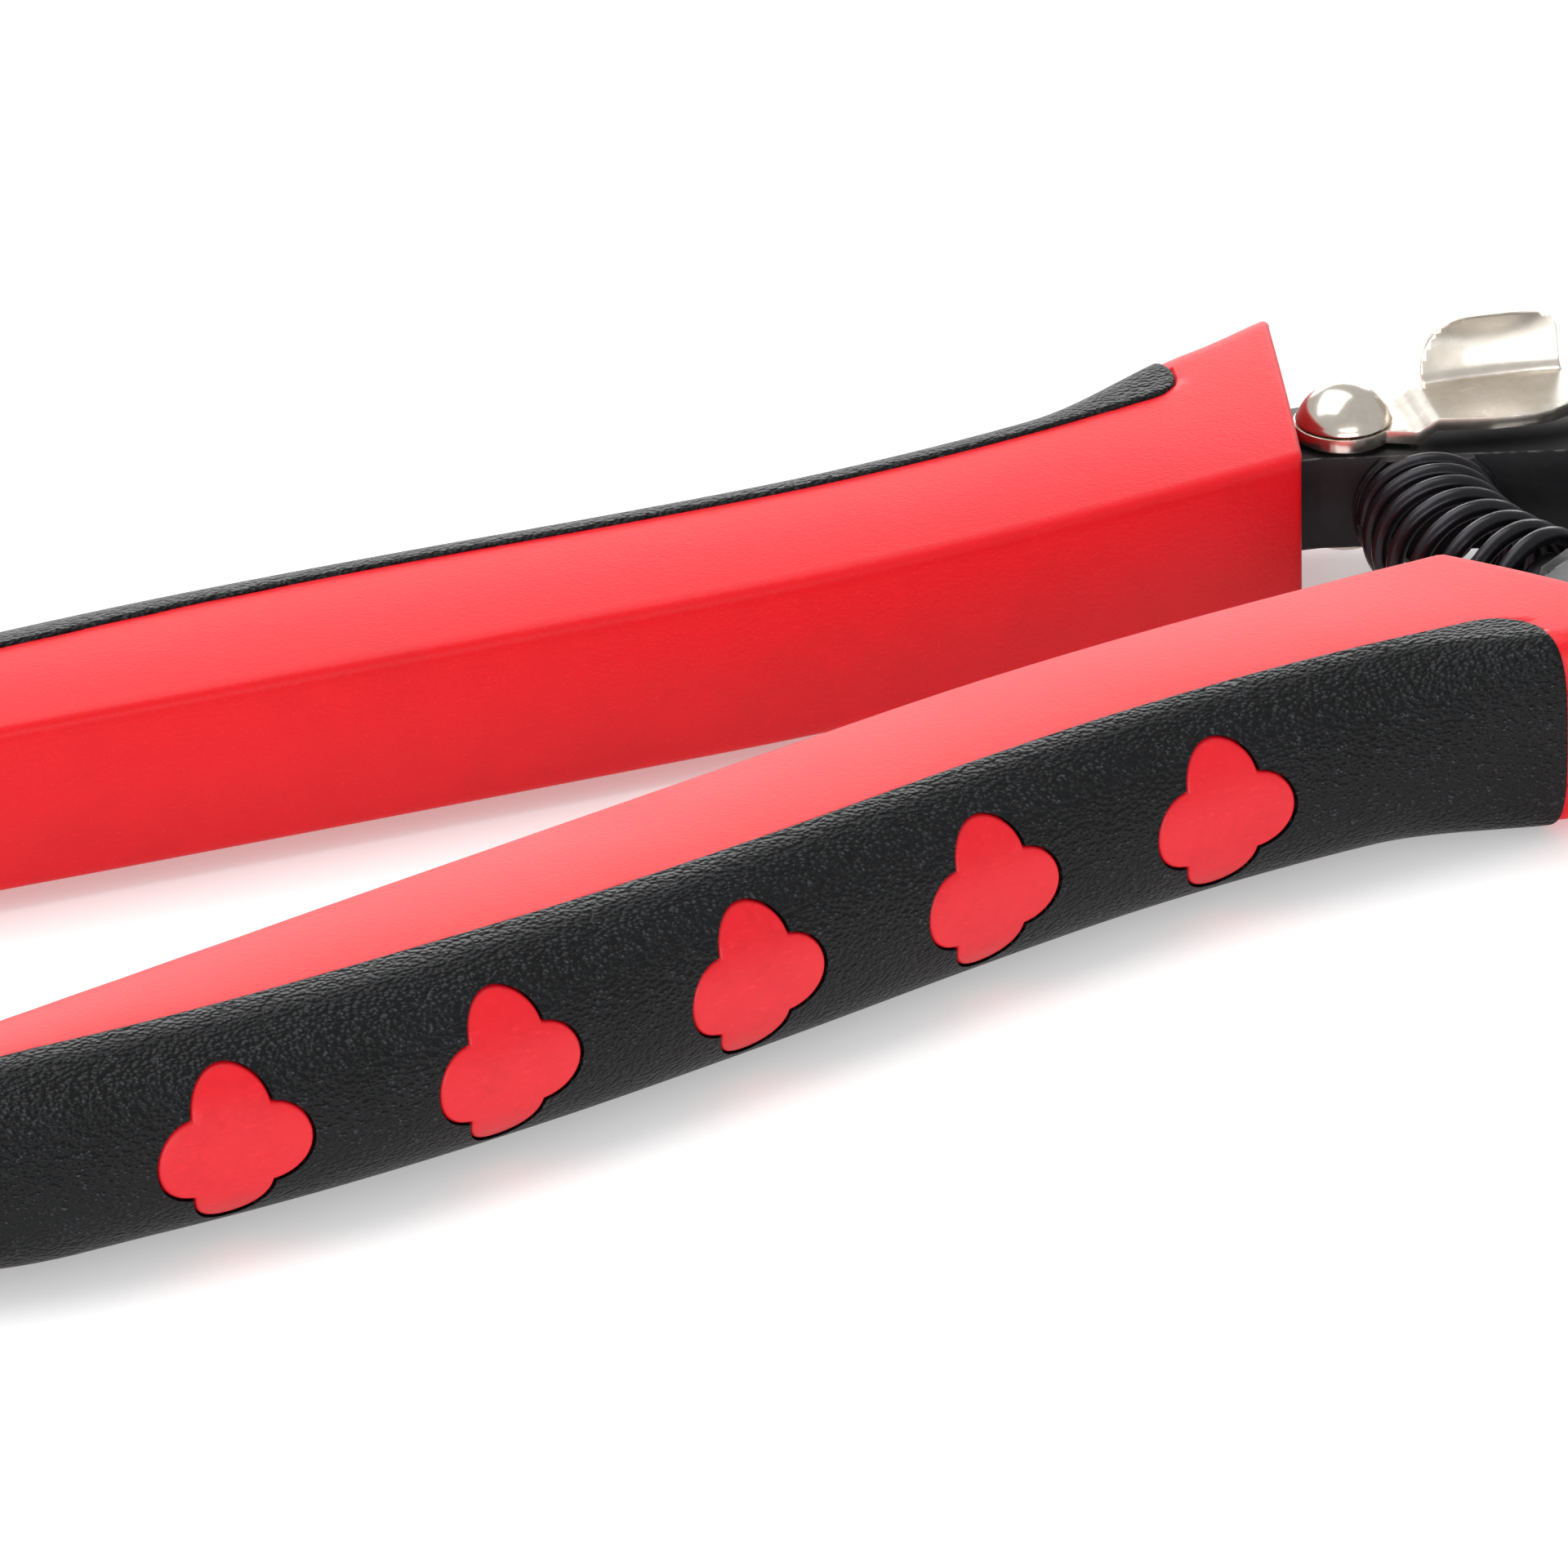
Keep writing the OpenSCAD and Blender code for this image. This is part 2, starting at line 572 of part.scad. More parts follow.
far_tang();
far_core();
far_grip();
far_key_pin();
near_tang();
near_core();
near_grip();
near_key_pin();
for (i = [1:inlay_count]) {
    far_inlay(i);
    near_inlay(i);
}
pivot_bolt();
pivot_nut();
far_tail_pin();
near_tail_pin();
far_jaw();
near_jaw();
upper_plate();
lower_plate();
far_jaw_bolt();
near_jaw_bolt();
far_jaw_nut();
near_jaw_nut();
spring();
far_spring_seat();
near_spring_seat();
latch();
latch_rivet();
latch_washer();
keeper();
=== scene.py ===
import math

import bmesh
import bpy
import numpy as np
from mathutils import Matrix, Vector


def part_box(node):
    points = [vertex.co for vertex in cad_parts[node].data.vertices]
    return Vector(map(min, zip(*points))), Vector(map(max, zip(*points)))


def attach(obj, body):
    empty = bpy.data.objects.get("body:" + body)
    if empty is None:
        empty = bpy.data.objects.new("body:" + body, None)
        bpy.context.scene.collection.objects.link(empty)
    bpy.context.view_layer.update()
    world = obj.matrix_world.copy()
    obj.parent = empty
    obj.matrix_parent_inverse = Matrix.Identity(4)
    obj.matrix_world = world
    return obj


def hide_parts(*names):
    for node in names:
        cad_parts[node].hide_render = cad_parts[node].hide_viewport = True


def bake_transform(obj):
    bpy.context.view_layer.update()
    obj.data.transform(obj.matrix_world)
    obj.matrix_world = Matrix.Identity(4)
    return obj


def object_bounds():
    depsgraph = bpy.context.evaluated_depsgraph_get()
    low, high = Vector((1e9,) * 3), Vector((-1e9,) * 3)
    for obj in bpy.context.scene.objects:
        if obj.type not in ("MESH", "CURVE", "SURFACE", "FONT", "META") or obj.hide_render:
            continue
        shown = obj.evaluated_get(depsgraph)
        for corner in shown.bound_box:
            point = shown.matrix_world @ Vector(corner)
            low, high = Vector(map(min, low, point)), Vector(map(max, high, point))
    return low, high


# Compact bolt cutters at rest: the spring holds the two grips apart, the latch is off.
# Shapes are worked out in millimetres, in the frame's own axes, and scaled when a mesh is made.

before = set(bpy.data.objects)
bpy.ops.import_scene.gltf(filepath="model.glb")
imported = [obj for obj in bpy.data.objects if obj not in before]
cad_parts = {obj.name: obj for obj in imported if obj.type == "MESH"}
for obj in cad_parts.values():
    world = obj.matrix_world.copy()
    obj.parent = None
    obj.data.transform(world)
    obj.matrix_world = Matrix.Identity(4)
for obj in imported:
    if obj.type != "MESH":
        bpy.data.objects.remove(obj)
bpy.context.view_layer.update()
mm = 0.001
print("frame loaded with", len(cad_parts), "nodes")


def makeGroup(name, inputs, outputs):
    group = bpy.data.node_groups.new(name, "ShaderNodeTree")
    for label, value in inputs.items():
        socket = group.interface.new_socket(label, in_out="INPUT", socket_type="NodeSocketFloat")
        socket.default_value = value
    for label in outputs:
        group.interface.new_socket(label, in_out="OUTPUT", socket_type="NodeSocketFloat")
    return group, group.nodes.new("NodeGroupInput"), group.nodes.new("NodeGroupOutput")


def joinNodes(tree, source, sink):
    tree.links.new(source, sink)


def addMath(tree, operation, first, second=None, clamp=False):
    node = tree.nodes.new("ShaderNodeMath")
    node.operation = operation
    node.use_clamp = clamp
    for socket, value in zip(node.inputs, (first, second)):
        if isinstance(value, (int, float)):
            socket.default_value = value
        elif value is not None:
            joinNodes(tree, value, socket)
    return node.outputs[0]


# Moulded pebble grain: soft cells that run into each other, in cells per metre.
def buildGrain():
    group, given, made = makeGroup(
        "pebble grain", {"Cells": 3600.0, "Drag": 1.0, "Roundness": 0.5}, ["Height", "Tip highlight"])
    place = group.nodes.new("ShaderNodeTexCoord")
    stretch = group.nodes.new("ShaderNodeMapping")
    joinNodes(group, place.outputs["Object"], stretch.inputs["Vector"])
    drag = group.nodes.new("ShaderNodeCombineXYZ")
    joinNodes(group, given.outputs["Drag"], drag.inputs["X"])
    drag.inputs["Y"].default_value = 1.0
    drag.inputs["Z"].default_value = 1.0
    joinNodes(group, drag.outputs[0], stretch.inputs["Scale"])
    cells = group.nodes.new("ShaderNodeTexVoronoi")
    cells.feature = "SMOOTH_F1"
    joinNodes(group, stretch.outputs[0], cells.inputs["Vector"])
    joinNodes(group, given.outputs["Cells"], cells.inputs["Scale"])
    joinNodes(group, given.outputs["Roundness"], cells.inputs["Smoothness"])
    wander = group.nodes.new("ShaderNodeTexNoise")
    joinNodes(group, stretch.outputs[0], wander.inputs["Vector"])
    joinNodes(group, addMath(group, "MULTIPLY", given.outputs["Cells"], 0.55), wander.inputs["Scale"])
    wander.inputs["Detail"].default_value = 4.0
    bumps = addMath(group, "SUBTRACT", 1.0, cells.outputs["Distance"])
    height = addMath(group, "ADD", addMath(group, "MULTIPLY", bumps, 0.6),
                     addMath(group, "MULTIPLY", wander.outputs[0], 0.5))
    joinNodes(group, height, made.inputs["Height"])
    # Peaks of the grain: the finishes paint a lighter colour here as a painted highlight on each pebble.
    tips = addMath(group, "MULTIPLY", addMath(group, "SUBTRACT", height, 0.70), 6.0, clamp=True)
    joinNodes(group, tips, made.inputs["Tip highlight"])
    return group


# Slow unevenness of a moulded or handled surface: broad waves plus hand smudges.
def buildSmudge():
    group, given, made = makeGroup(
        "handling smudge", {"Size": 90.0, "Contrast": 1.0}, ["Waves", "Smudge"])
    place = group.nodes.new("ShaderNodeTexCoord")
    broad = group.nodes.new("ShaderNodeTexNoise")
    joinNodes(group, place.outputs["Object"], broad.inputs["Vector"])
    joinNodes(group, given.outputs["Size"], broad.inputs["Scale"])
    broad.inputs["Detail"].default_value = 3.0
    fine = group.nodes.new("ShaderNodeTexNoise")
    joinNodes(group, place.outputs["Object"], fine.inputs["Vector"])
    joinNodes(group, addMath(group, "MULTIPLY", given.outputs["Size"], 4.5), fine.inputs["Scale"])
    fine.inputs["Detail"].default_value = 6.0
    fine.inputs["Distortion"].default_value = 0.6
    joinNodes(group, broad.outputs[0], made.inputs["Waves"])
    mixed = addMath(group, "MULTIPLY", broad.outputs[0], fine.outputs[0])
    spread = addMath(group, "MULTIPLY", addMath(group, "SUBTRACT", mixed, 0.18), 4.0)
    joinNodes(group, addMath(group, "MULTIPLY", spread, given.outputs["Contrast"], clamp=True),
              made.inputs["Smudge"])
    return group


# Bright rub along sharp edges, broken up by noise.
def buildRub():
    group, given, made = makeGroup(
        "edge rub", {"Reach": 0.0004, "Strength": 1.0, "Patches": 700.0}, ["Rub"])
    rounded = group.nodes.new("ShaderNodeBevel")
    rounded.samples = 6
    joinNodes(group, given.outputs["Reach"], rounded.inputs["Radius"])
    plain = group.nodes.new("ShaderNodeNewGeometry")
    aligned = group.nodes.new("ShaderNodeVectorMath")
    aligned.operation = "DOT_PRODUCT"
    joinNodes(group, rounded.outputs[0], aligned.inputs[0])
    joinNodes(group, plain.outputs["Normal"], aligned.inputs[1])
    edge = addMath(group, "MULTIPLY", addMath(group, "SUBTRACT", 1.0, aligned.outputs["Value"]), 9.0,
                   clamp=True)
    place = group.nodes.new("ShaderNodeTexCoord")
    patches = group.nodes.new("ShaderNodeTexNoise")
    joinNodes(group, place.outputs["Object"], patches.inputs["Vector"])
    joinNodes(group, given.outputs["Patches"], patches.inputs["Scale"])
    patches.inputs["Detail"].default_value = 5.0
    broken = addMath(group, "MULTIPLY", addMath(group, "SUBTRACT", patches.outputs[0], 0.42), 5.0,
                     clamp=True)
    rub = addMath(group, "MULTIPLY", addMath(group, "MULTIPLY", edge, broken), given.outputs["Strength"],
                  clamp=True)
    joinNodes(group, rub, made.inputs["Rub"])
    return group


grainGroup = buildGrain()
smudgeGroup = buildSmudge()
rubGroup = buildRub()


def placeGroup(tree, group, **values):
    node = tree.nodes.new("ShaderNodeGroup")
    node.node_tree = group
    for label, value in values.items():
        node.inputs[label].default_value = value
    return node


def mixColour(tree, factor, first, second):
    node = tree.nodes.new("ShaderNodeMix")
    node.data_type = "RGBA"
    joinNodes(tree, factor, node.inputs["Factor"])
    for socket, value in ((node.inputs["A"], first), (node.inputs["B"], second)):
        if isinstance(value, tuple):
            socket.default_value = (*value, 1.0)
        else:
            joinNodes(tree, value, socket)
    return node.outputs["Result"]


def mapRange(tree, value, low, high):
    node = tree.nodes.new("ShaderNodeMapRange")
    joinNodes(tree, value, node.inputs["Value"])
    node.inputs["To Min"].default_value = low
    node.inputs["To Max"].default_value = high
    return node.outputs["Result"]


# One finish from a dictionary: grain, smudges and edge rub each have their own values.
def makeFinish(name, look):
    material = bpy.data.materials.new(name)
    material.use_nodes = True
    tree = material.node_tree
    shader = tree.nodes["Principled BSDF"]
    for label, value in look["plain"].items():
        shader.inputs[label].default_value = value
    grain = placeGroup(tree, grainGroup, **look["grain"])
    smudge = placeGroup(tree, smudgeGroup, **look["smudge"])
    colour = mixColour(tree, smudge.outputs["Smudge"], look["colour"], look["shade"])
    # Painted highlight: the grain's peaks are mixed toward a lighter colour, standing in for glints on the
    # grain.
    colour = mixColour(tree, grain.outputs["Tip highlight"], colour, look["tips"])
    rough = mapRange(tree, smudge.outputs["Waves"], *look["rough"])
    if "rub" in look:
        rub = placeGroup(tree, rubGroup, **look["rub"])
        colour = mixColour(tree, rub.outputs["Rub"], colour, look["bare"])
        joinNodes(tree, mapRange(tree, rub.outputs["Rub"], look["metal"], 1.0), shader.inputs["Metallic"])
    else:
        shader.inputs["Metallic"].default_value = look["metal"]
    joinNodes(tree, colour, shader.inputs["Base Color"])
    joinNodes(tree, rough, shader.inputs["Roughness"])
    waves = tree.nodes.new("ShaderNodeBump")
    waves.inputs["Strength"].default_value = look["wave"]
    waves.inputs["Distance"].default_value = 0.0004
    joinNodes(tree, smudge.outputs["Waves"], waves.inputs["Height"])
    bump = tree.nodes.new("ShaderNodeBump")
    bump.inputs["Strength"].default_value = look["bump"]
    bump.inputs["Distance"].default_value = look["depth"]
    joinNodes(tree, grain.outputs["Height"], bump.inputs["Height"])
    joinNodes(tree, waves.outputs["Normal"], bump.inputs["Normal"])
    joinNodes(tree, bump.outputs["Normal"], shader.inputs["Normal"])
    return material


# Each finish's colour on the grain's peaks is lighter than its body: a painted highlight, strongest and
# bluish on the black soft grip.
finishes = {
    "hard red plastic": {
        "colour": (0.66, 0.001, 0.008), "shade": (0.58, 0.001, 0.006), "tips": (0.72, 0.010, 0.022),
        "plain": {"IOR": 1.5, "Specular IOR Level": 0.32}, "metal": 0.0,
        "grain": {"Cells": 3800.0, "Drag": 0.6, "Roundness": 0.6},
        "smudge": {"Size": 55.0, "Contrast": 0.7},
        "rough": (0.40, 0.50), "wave": 0.08, "bump": 0.55, "depth": 0.00005},
    "red inlay": {
        "colour": (0.64, 0.006, 0.014), "shade": (0.54, 0.003, 0.010), "tips": (0.70, 0.012, 0.022),
        "plain": {"IOR": 1.5, "Specular IOR Level": 0.36}, "metal": 0.0,
        "grain": {"Cells": 2600.0, "Drag": 0.35, "Roundness": 0.9},
        "smudge": {"Size": 240.0, "Contrast": 0.6},
        "rough": (0.36, 0.48), "wave": 0.30, "bump": 0.40, "depth": 0.00005},
    "black soft grip": {
        "colour": (0.0045, 0.0048, 0.0056), "shade": (0.003, 0.0032, 0.0036), "tips": (0.050, 0.052, 0.060),
        "plain": {"IOR": 1.5, "Specular IOR Level": 0.15}, "metal": 0.0,
        "grain": {"Cells": 2700.0, "Drag": 0.7, "Roundness": 0.4},
        "smudge": {"Size": 70.0, "Contrast": 0.8},
        "rough": (0.30, 0.40), "wave": 0.10, "bump": 1.0, "depth": 0.00045},
    "blackened steel": {
        "colour": (0.010, 0.010, 0.012), "shade": (0.006, 0.006, 0.007), "tips": (0.014, 0.014, 0.017),
        "plain": {"Specular IOR Level": 0.35}, "metal": 0.4,
        "grain": {"Cells": 2600.0, "Drag": 1.0, "Roundness": 0.8},
        "smudge": {"Size": 120.0, "Contrast": 1.0},
        "rough": (0.34, 0.50), "wave": 0.12, "bump": 0.25, "depth": 0.00004,
        "rub": {"Reach": 0.00035, "Strength": 0.5, "Patches": 900.0}, "bare": (0.26, 0.25, 0.24)},
    "oiled spring wire": {
        "colour": (0.018, 0.017, 0.021), "shade": (0.010, 0.009, 0.012), "tips": (0.026, 0.025, 0.030),
        "plain": {"Specular IOR Level": 0.45}, "metal": 0.6,
        "grain": {"Cells": 3000.0, "Drag": 1.0, "Roundness": 0.8},
        "smudge": {"Size": 160.0, "Contrast": 1.0},
        "rough": (0.22, 0.34), "wave": 0.05, "bump": 0.20, "depth": 0.00003},
    "satin nickel": {
        "colour": (0.80, 0.745, 0.67), "shade": (0.70, 0.63, 0.54), "tips": (0.84, 0.79, 0.72),
        "plain": {}, "metal": 1.0,
        "grain": {"Cells": 1500.0, "Drag": 0.25, "Roundness": 0.9},
        "smudge": {"Size": 150.0, "Contrast": 1.0},
        "rough": (0.22, 0.34), "wave": 0.20, "bump": 0.10, "depth": 0.00004},
    "polished nickel": {
        "colour": (0.72, 0.66, 0.58), "shade": (0.64, 0.57, 0.48), "tips": (0.74, 0.68, 0.60),
        "plain": {}, "metal": 1.0,
        "grain": {"Cells": 900.0, "Drag": 1.0, "Roundness": 0.9},
        "smudge": {"Size": 220.0, "Contrast": 0.8},
        "rough": (0.14, 0.24), "wave": 0.12, "bump": 0.06, "depth": 0.00004},
    "bright steel": {
        "colour": (0.50, 0.49, 0.47), "shade": (0.40, 0.39, 0.37), "tips": (0.54, 0.53, 0.51),
        "plain": {}, "metal": 1.0,
        "grain": {"Cells": 2400.0, "Drag": 1.0, "Roundness": 0.8},
        "smudge": {"Size": 180.0, "Contrast": 1.0},
        "rough": (0.26, 0.42), "wave": 0.10, "bump": 0.15, "depth": 0.00003},
}
finish = {name: makeFinish(name, look) for name, look in finishes.items()}
print("finishes made:", ", ".join(finish))


def meshObject(name, points, faces):
    mesh = bpy.data.meshes.new(name)
    mesh.from_pydata([[float(c) * mm for c in p] for p in points], [], [list(map(int, f)) for f in faces])
    piece = bpy.data.objects.new(name, mesh)
    bpy.context.scene.collection.objects.link(piece)
    cleanMesh(piece)
    return piece


def cleanMesh(piece):
    work = bmesh.new()
    work.from_mesh(piece.data)
    bmesh.ops.remove_doubles(work, verts=work.verts, dist=2e-6)
    bmesh.ops.dissolve_degenerate(work, dist=1e-6, edges=work.edges)
    bmesh.ops.recalc_face_normals(work, faces=work.faces)
    work.to_mesh(piece.data)
    work.free()


def applyAll(piece):
    bpy.context.view_layer.update()
    ready = piece.evaluated_get(bpy.context.evaluated_depsgraph_get())
    baked = bpy.data.meshes.new_from_object(ready)
    piece.modifiers.clear()
    piece.data = baked
    baked.name = piece.name


def combine(piece, others, operation):
    for other in others:
        step = piece.modifiers.new("combine", "BOOLEAN")
        step.object = other
        step.operation = operation
        step.solver = "EXACT"
    applyAll(piece)
    for other in others:
        bpy.data.objects.remove(other)
    return piece


def softenEdges(piece, width, segments=2, angle=32):
    step = piece.modifiers.new("soften", "BEVEL")
    step.width = width * mm
    step.segments = segments
    step.limit_method = "ANGLE"
    step.angle_limit = math.radians(angle)
    step.use_clamp_overlap = True
    step.miter_outer = "MITER_ARC"
    applyAll(piece)
    return piece


def dress(piece, look, body, replaced=(), sharp=38):
    piece.data.materials.clear()
    piece.data.materials.append(finish[look])
    piece.data.shade_smooth()
    piece.data.set_sharp_from_angle(angle=math.radians(sharp))
    if body:
        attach(piece, body)
    if replaced:
        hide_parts(*replaced)
    return piece


# Grid of points (rows by columns) as faces; each flag closes that direction.
def gridFaces(rows, columns, closeColumns=False, offset=0):
    faces = []
    for i in range(rows - 1):
        for j in range(columns if closeColumns else columns - 1):
            k = (j + 1) % columns
            a, b = offset + i * columns + j, offset + i * columns + k
            faces.append((a, b, b + columns, a + columns))
    return faces


def turned(point, degrees):
    c, s = math.cos(math.radians(degrees)), math.sin(math.radians(degrees))
    return np.array([point[0] * c - point[1] * s, point[0] * s + point[1] * c])


# Outline with its corners rounded off by arcs.
def roundedOutline(corners, radius, steps=5):
    result = []
    count = len(corners)
    radii = radius if isinstance(radius, (list, tuple)) else [radius] * count
    for i in range(count):
        here = np.array(corners[i], float)
        back = np.array(corners[i - 1], float) - here
        ahead = np.array(corners[(i + 1) % count], float) - here
        lb, la = np.linalg.norm(back), np.linalg.norm(ahead)
        back, ahead = back / lb, ahead / la
        angle = math.acos(max(-1.0, min(1.0, float(back @ ahead))))
        run = min(radii[i] / math.tan(angle / 2), 0.45 * lb, 0.45 * la)
        if radii[i] <= 0 or run < 0.02 or angle > math.radians(176):
            result.append(tuple(here))
            continue
        size = run * math.tan(angle / 2)
        middle = here + (back + ahead) / np.linalg.norm(back + ahead) * (size / math.sin(angle / 2))
        start, end = here + back * run - middle, here + ahead * run - middle
        sweep = math.atan2(start[0] * end[1] - start[1] * end[0], float(start @ end))
        for k in range(steps + 1):
            result.append(tuple(middle + turned(start, math.degrees(sweep) * k / steps)))
    return result


def circleOutline(centre, radius, count=64):
    return [(centre[0] + radius * math.cos(2 * math.pi * k / count),
             centre[1] + radius * math.sin(2 * math.pi * k / count)) for k in range(count)]


def prism(name, outline, low, high):
    count = len(outline)
    points = [(x, y, low) for x, y in outline] + [(x, y, high) for x, y in outline]
    faces = [tuple(range(count))[::-1], tuple(range(count, 2 * count))]
    faces += [(i, (i + 1) % count, count + (i + 1) % count, count + i) for i in range(count)]
    return meshObject(name, points, faces)


# Upright disc that is joined on or cut away.
def disc(centre, radius, low, high):
    return prism("t", circleOutline(centre, radius), low, high)


# Turned piece about a vertical line: the profile is radius and height, from axis to axis.
def lathe(name, centre, profile, count=64):
    points = []
    for radius, height in profile:
        for k in range(count):
            a = 2 * math.pi * k / count
            points.append((centre[0] + radius * math.cos(a), centre[1] + radius * math.sin(a), height))
    return meshObject(name, points, gridFaces(len(profile), count, closeColumns=True))


def arcProfile(centre, radius, start, end, steps):
    return [(centre[0] + radius * math.cos(math.radians(start + (end - start) * k / steps)),
             centre[1] + radius * math.sin(math.radians(start + (end - start) * k / steps)))
            for k in range(steps + 1)]


def mirrorY(piece):
    piece.data.transform(Matrix.Scale(-1, 4, (0, 1, 0)))
    piece.data.flip_normals()
    return piece


def mirrorZ(piece):
    piece.data.transform(Matrix.Scale(-1, 4, (0, 0, 1)))
    piece.data.flip_normals()
    return piece


# The far sleeve in plan, from its head end to its butt, and the line where the soft grip starts.
sleeve = {
    "inner": [(-10, 13), (-38, 11.5), (-64, 11.3), (-85, 12.4), (-105, 14.8), (-150, 20.9), (-186, 26),
              (-208, 29)],
    "outer": [(-10, 40.2), (-24, 40), (-36, 36.9), (-56, 34.2), (-78, 34.3), (-100, 36.9), (-125, 40.7),
              (-148, 43.7), (-166, 44.5), (-186, 43.4), (-208, 41)],
    "panel": [(-40, 27.8), (-60, 26.6), (-78, 27), (-95, 28.8), (-115, 31.7), (-135, 34), (-152, 35),
              (-168, 35.5), (-180, 35.3), (-192, 34.4), (-200, 33)],
    "halfThick": 8.0, "crown": 1.0, "fillet": 1.2,
    "boxyFrom": -36.0, "boxyTo": -56.0, "boxyRound": 4.0, "boxyPower": 0.6, "roundPower": 1.0,
    "buttFrom": -186.0, "buttEnd": -208.0,
    "headX": -43.1, "headCut": 24.2, "headEdge": 0.7, "uprightFrom": -78.0,
}
grip = {"headX": -39.9, "corner": 4.5, "proud": 0.38, "lip": 0.55, "skin": 1.0, "tipX": -202.6,
        "tipRound": (-195.0, 26.0, 9.0), "noseLength": 1.8}
inlay = {"count": 5, "first": -73.5, "pitch": 25.0, "lobe": 3.6, "out": 3.4, "turn": 0.0, "gap": 0.17,
         "wall": 3.2, "back": 3.0, "proud": 0.30, "rim": 0.35}


def curveAt(points, x):
    i = 0
    while i < len(points) - 2 and x < points[i + 1][0]:
        i += 1

    def slope(k):
        a, b = points[max(k - 1, 0)], points[min(k + 1, len(points) - 1)]
        return (b[1] - a[1]) / (b[0] - a[0])

    span = points[i + 1][0] - points[i][0]
    u = (x - points[i][0]) / span
    return ((2 * u ** 3 - 3 * u ** 2 + 1) * points[i][1] + (u ** 3 - 2 * u ** 2 + u) * slope(i) * span
            + (3 * u ** 2 - 2 * u ** 3) * points[i + 1][1] + (u ** 3 - u ** 2) * slope(i + 1) * span)


def innerY(x):
    return curveAt(sleeve["inner"], x)


def outerY(x):
    return curveAt(sleeve["outer"], x)


# How much of the full section is left at x: one until the butt starts, then an ellipse.
def buttShare(x):
    if x >= sleeve["buttFrom"]:
        return 1.0
    return math.sqrt(max(0.0, 1 - ((x - sleeve["buttFrom"]) / (sleeve["buttEnd"] - sleeve["buttFrom"])) ** 2))


# The outer side is boxy at the head end and becomes one deep round behind it.
def boxy(x):
    u = min(1.0, max(0.0, (x - sleeve["boxyTo"]) / (sleeve["boxyFrom"] - sleeve["boxyTo"])))
    return u * u * (3 - 2 * u)


# Width, height and power of the outer round at x, and the y of the outer edge.
def outerRound(x):
    share = buttShare(x)
    low, high = innerY(x), outerY(x)
    half = (high - low) / 2 * share
    deep = high - curveAt(sleeve["panel"], max(-180.0, min(-40.0, x)))
    width = (sleeve["boxyRound"] * boxy(x) + deep * (1 - boxy(x))) * share
    tall = (sleeve["halfThick"] + sleeve["crown"]) * (0.25 + 0.75 * share)
    power = sleeve["roundPower"] + (sleeve["boxyPower"] - sleeve["roundPower"]) * boxy(x)
    return min(width, 2 * half - 2 * min(sleeve["fillet"], half * 0.4)), tall, power, (low + high) / 2 + half


# Upper half of the section at x: distance along it, and its points as y and z.
sections = {}


def sectionAt(x):
    x = round(float(x), 2)
    if x in sections:
        return sections[x]
    w, crest, power, high = outerRound(x)
    share = buttShare(x)
    half = (outerY(x) - innerY(x)) / 2 * share
    low = high - 2 * half
    h = sleeve["halfThick"] * (0.25 + 0.75 * share)
    r = min(sleeve["fillet"], half * 0.4)
    pts = [(low, z) for z in np.linspace(0, h - r, 24, endpoint=False)]
    pts += [(low + r - r * math.cos(a), h - r + r * math.sin(a)) for a in np.linspace(0, math.pi / 2, 24)]
    faceEnd = max(high - w, low + r + 0.01)
    for t in np.linspace(0, 1, 32)[1:-1]:
        pts.append((low + r + (faceEnd - low - r) * t, h + (crest - h) * t * (2 - t)))
    for a in np.linspace(math.pi / 2, 0, 160):
        pts.append((faceEnd + (high - faceEnd) * math.cos(a) ** power, crest * math.sin(a) ** power))
    pts = np.array(pts)
    run = np.concatenate([[0], np.cumsum(np.linalg.norm(np.diff(pts, axis=0), axis=1))])
    keep = np.concatenate([[True], np.diff(run) > 1e-5])
    sections[x] = run[keep], pts[keep]
    return sections[x]


def pointsOn(section, places):
    run, pts = section
    y, z = np.interp(places, run, pts[:, 0]), np.interp(places, run, pts[:, 1])
    step = 0.12
    ya, za = np.interp(places - step, run, pts[:, 0]), np.interp(places - step, run, pts[:, 1])
    yb, zb = np.interp(places + step, run, pts[:, 0]), np.interp(places + step, run, pts[:, 1])
    # The half section carries on as its own mirror image past each end.
    za = np.where(places < step, -np.interp(step - places, run, pts[:, 1]), za)
    zb = np.where(places > run[-1] - step, -np.interp(2 * run[-1] - places - step, run, pts[:, 1]), zb)
    ty, tz = yb - ya, zb - za
    size = np.maximum(np.hypot(ty, tz), 1e-9)
    return y, z, -tz / size, ty / size


# Edge of the soft grip in plan: how far out it starts at x.
def gripEdgeY(x):
    c = grip["corner"]
    noseX, noseY, noseR = grip["tipRound"]
    base = curveAt(sleeve["panel"], max(min(x, -40.0), noseX))
    if x > grip["headX"] - c:
        return base + c - math.sqrt(max(0.0, c * c - (x - grip["headX"] + c) ** 2))
    if x < noseX:
        return noseY + (base - noseY) * math.sqrt(max(0.0, 1 - ((x - noseX) / noseR) ** 2))
    return base


# Distance along the section at which the grip begins at x; zero once it wraps right round.
def gripStart(x, section):
    run, pts = section
    top = min(46, len(run) - 2)
    filletEnd = run[top]
    if x > grip["tipX"]:
        edge = gripEdgeY(x)
        return max(np.interp(edge, pts[top:, 0], run[top:]), filletEnd - sleeve["fillet"] * 1.2)
    left = max(0.0, 1 + (x - grip["tipX"]) / grip["noseLength"])
    return (filletEnd - sleeve["fillet"] * 1.2) * math.sqrt(left)


def buttStations(first, count):
    whole = sleeve["buttEnd"] - first
    return [first + whole * math.sin(math.pi / 2 * k / count) for k in range(1, count + 1)]


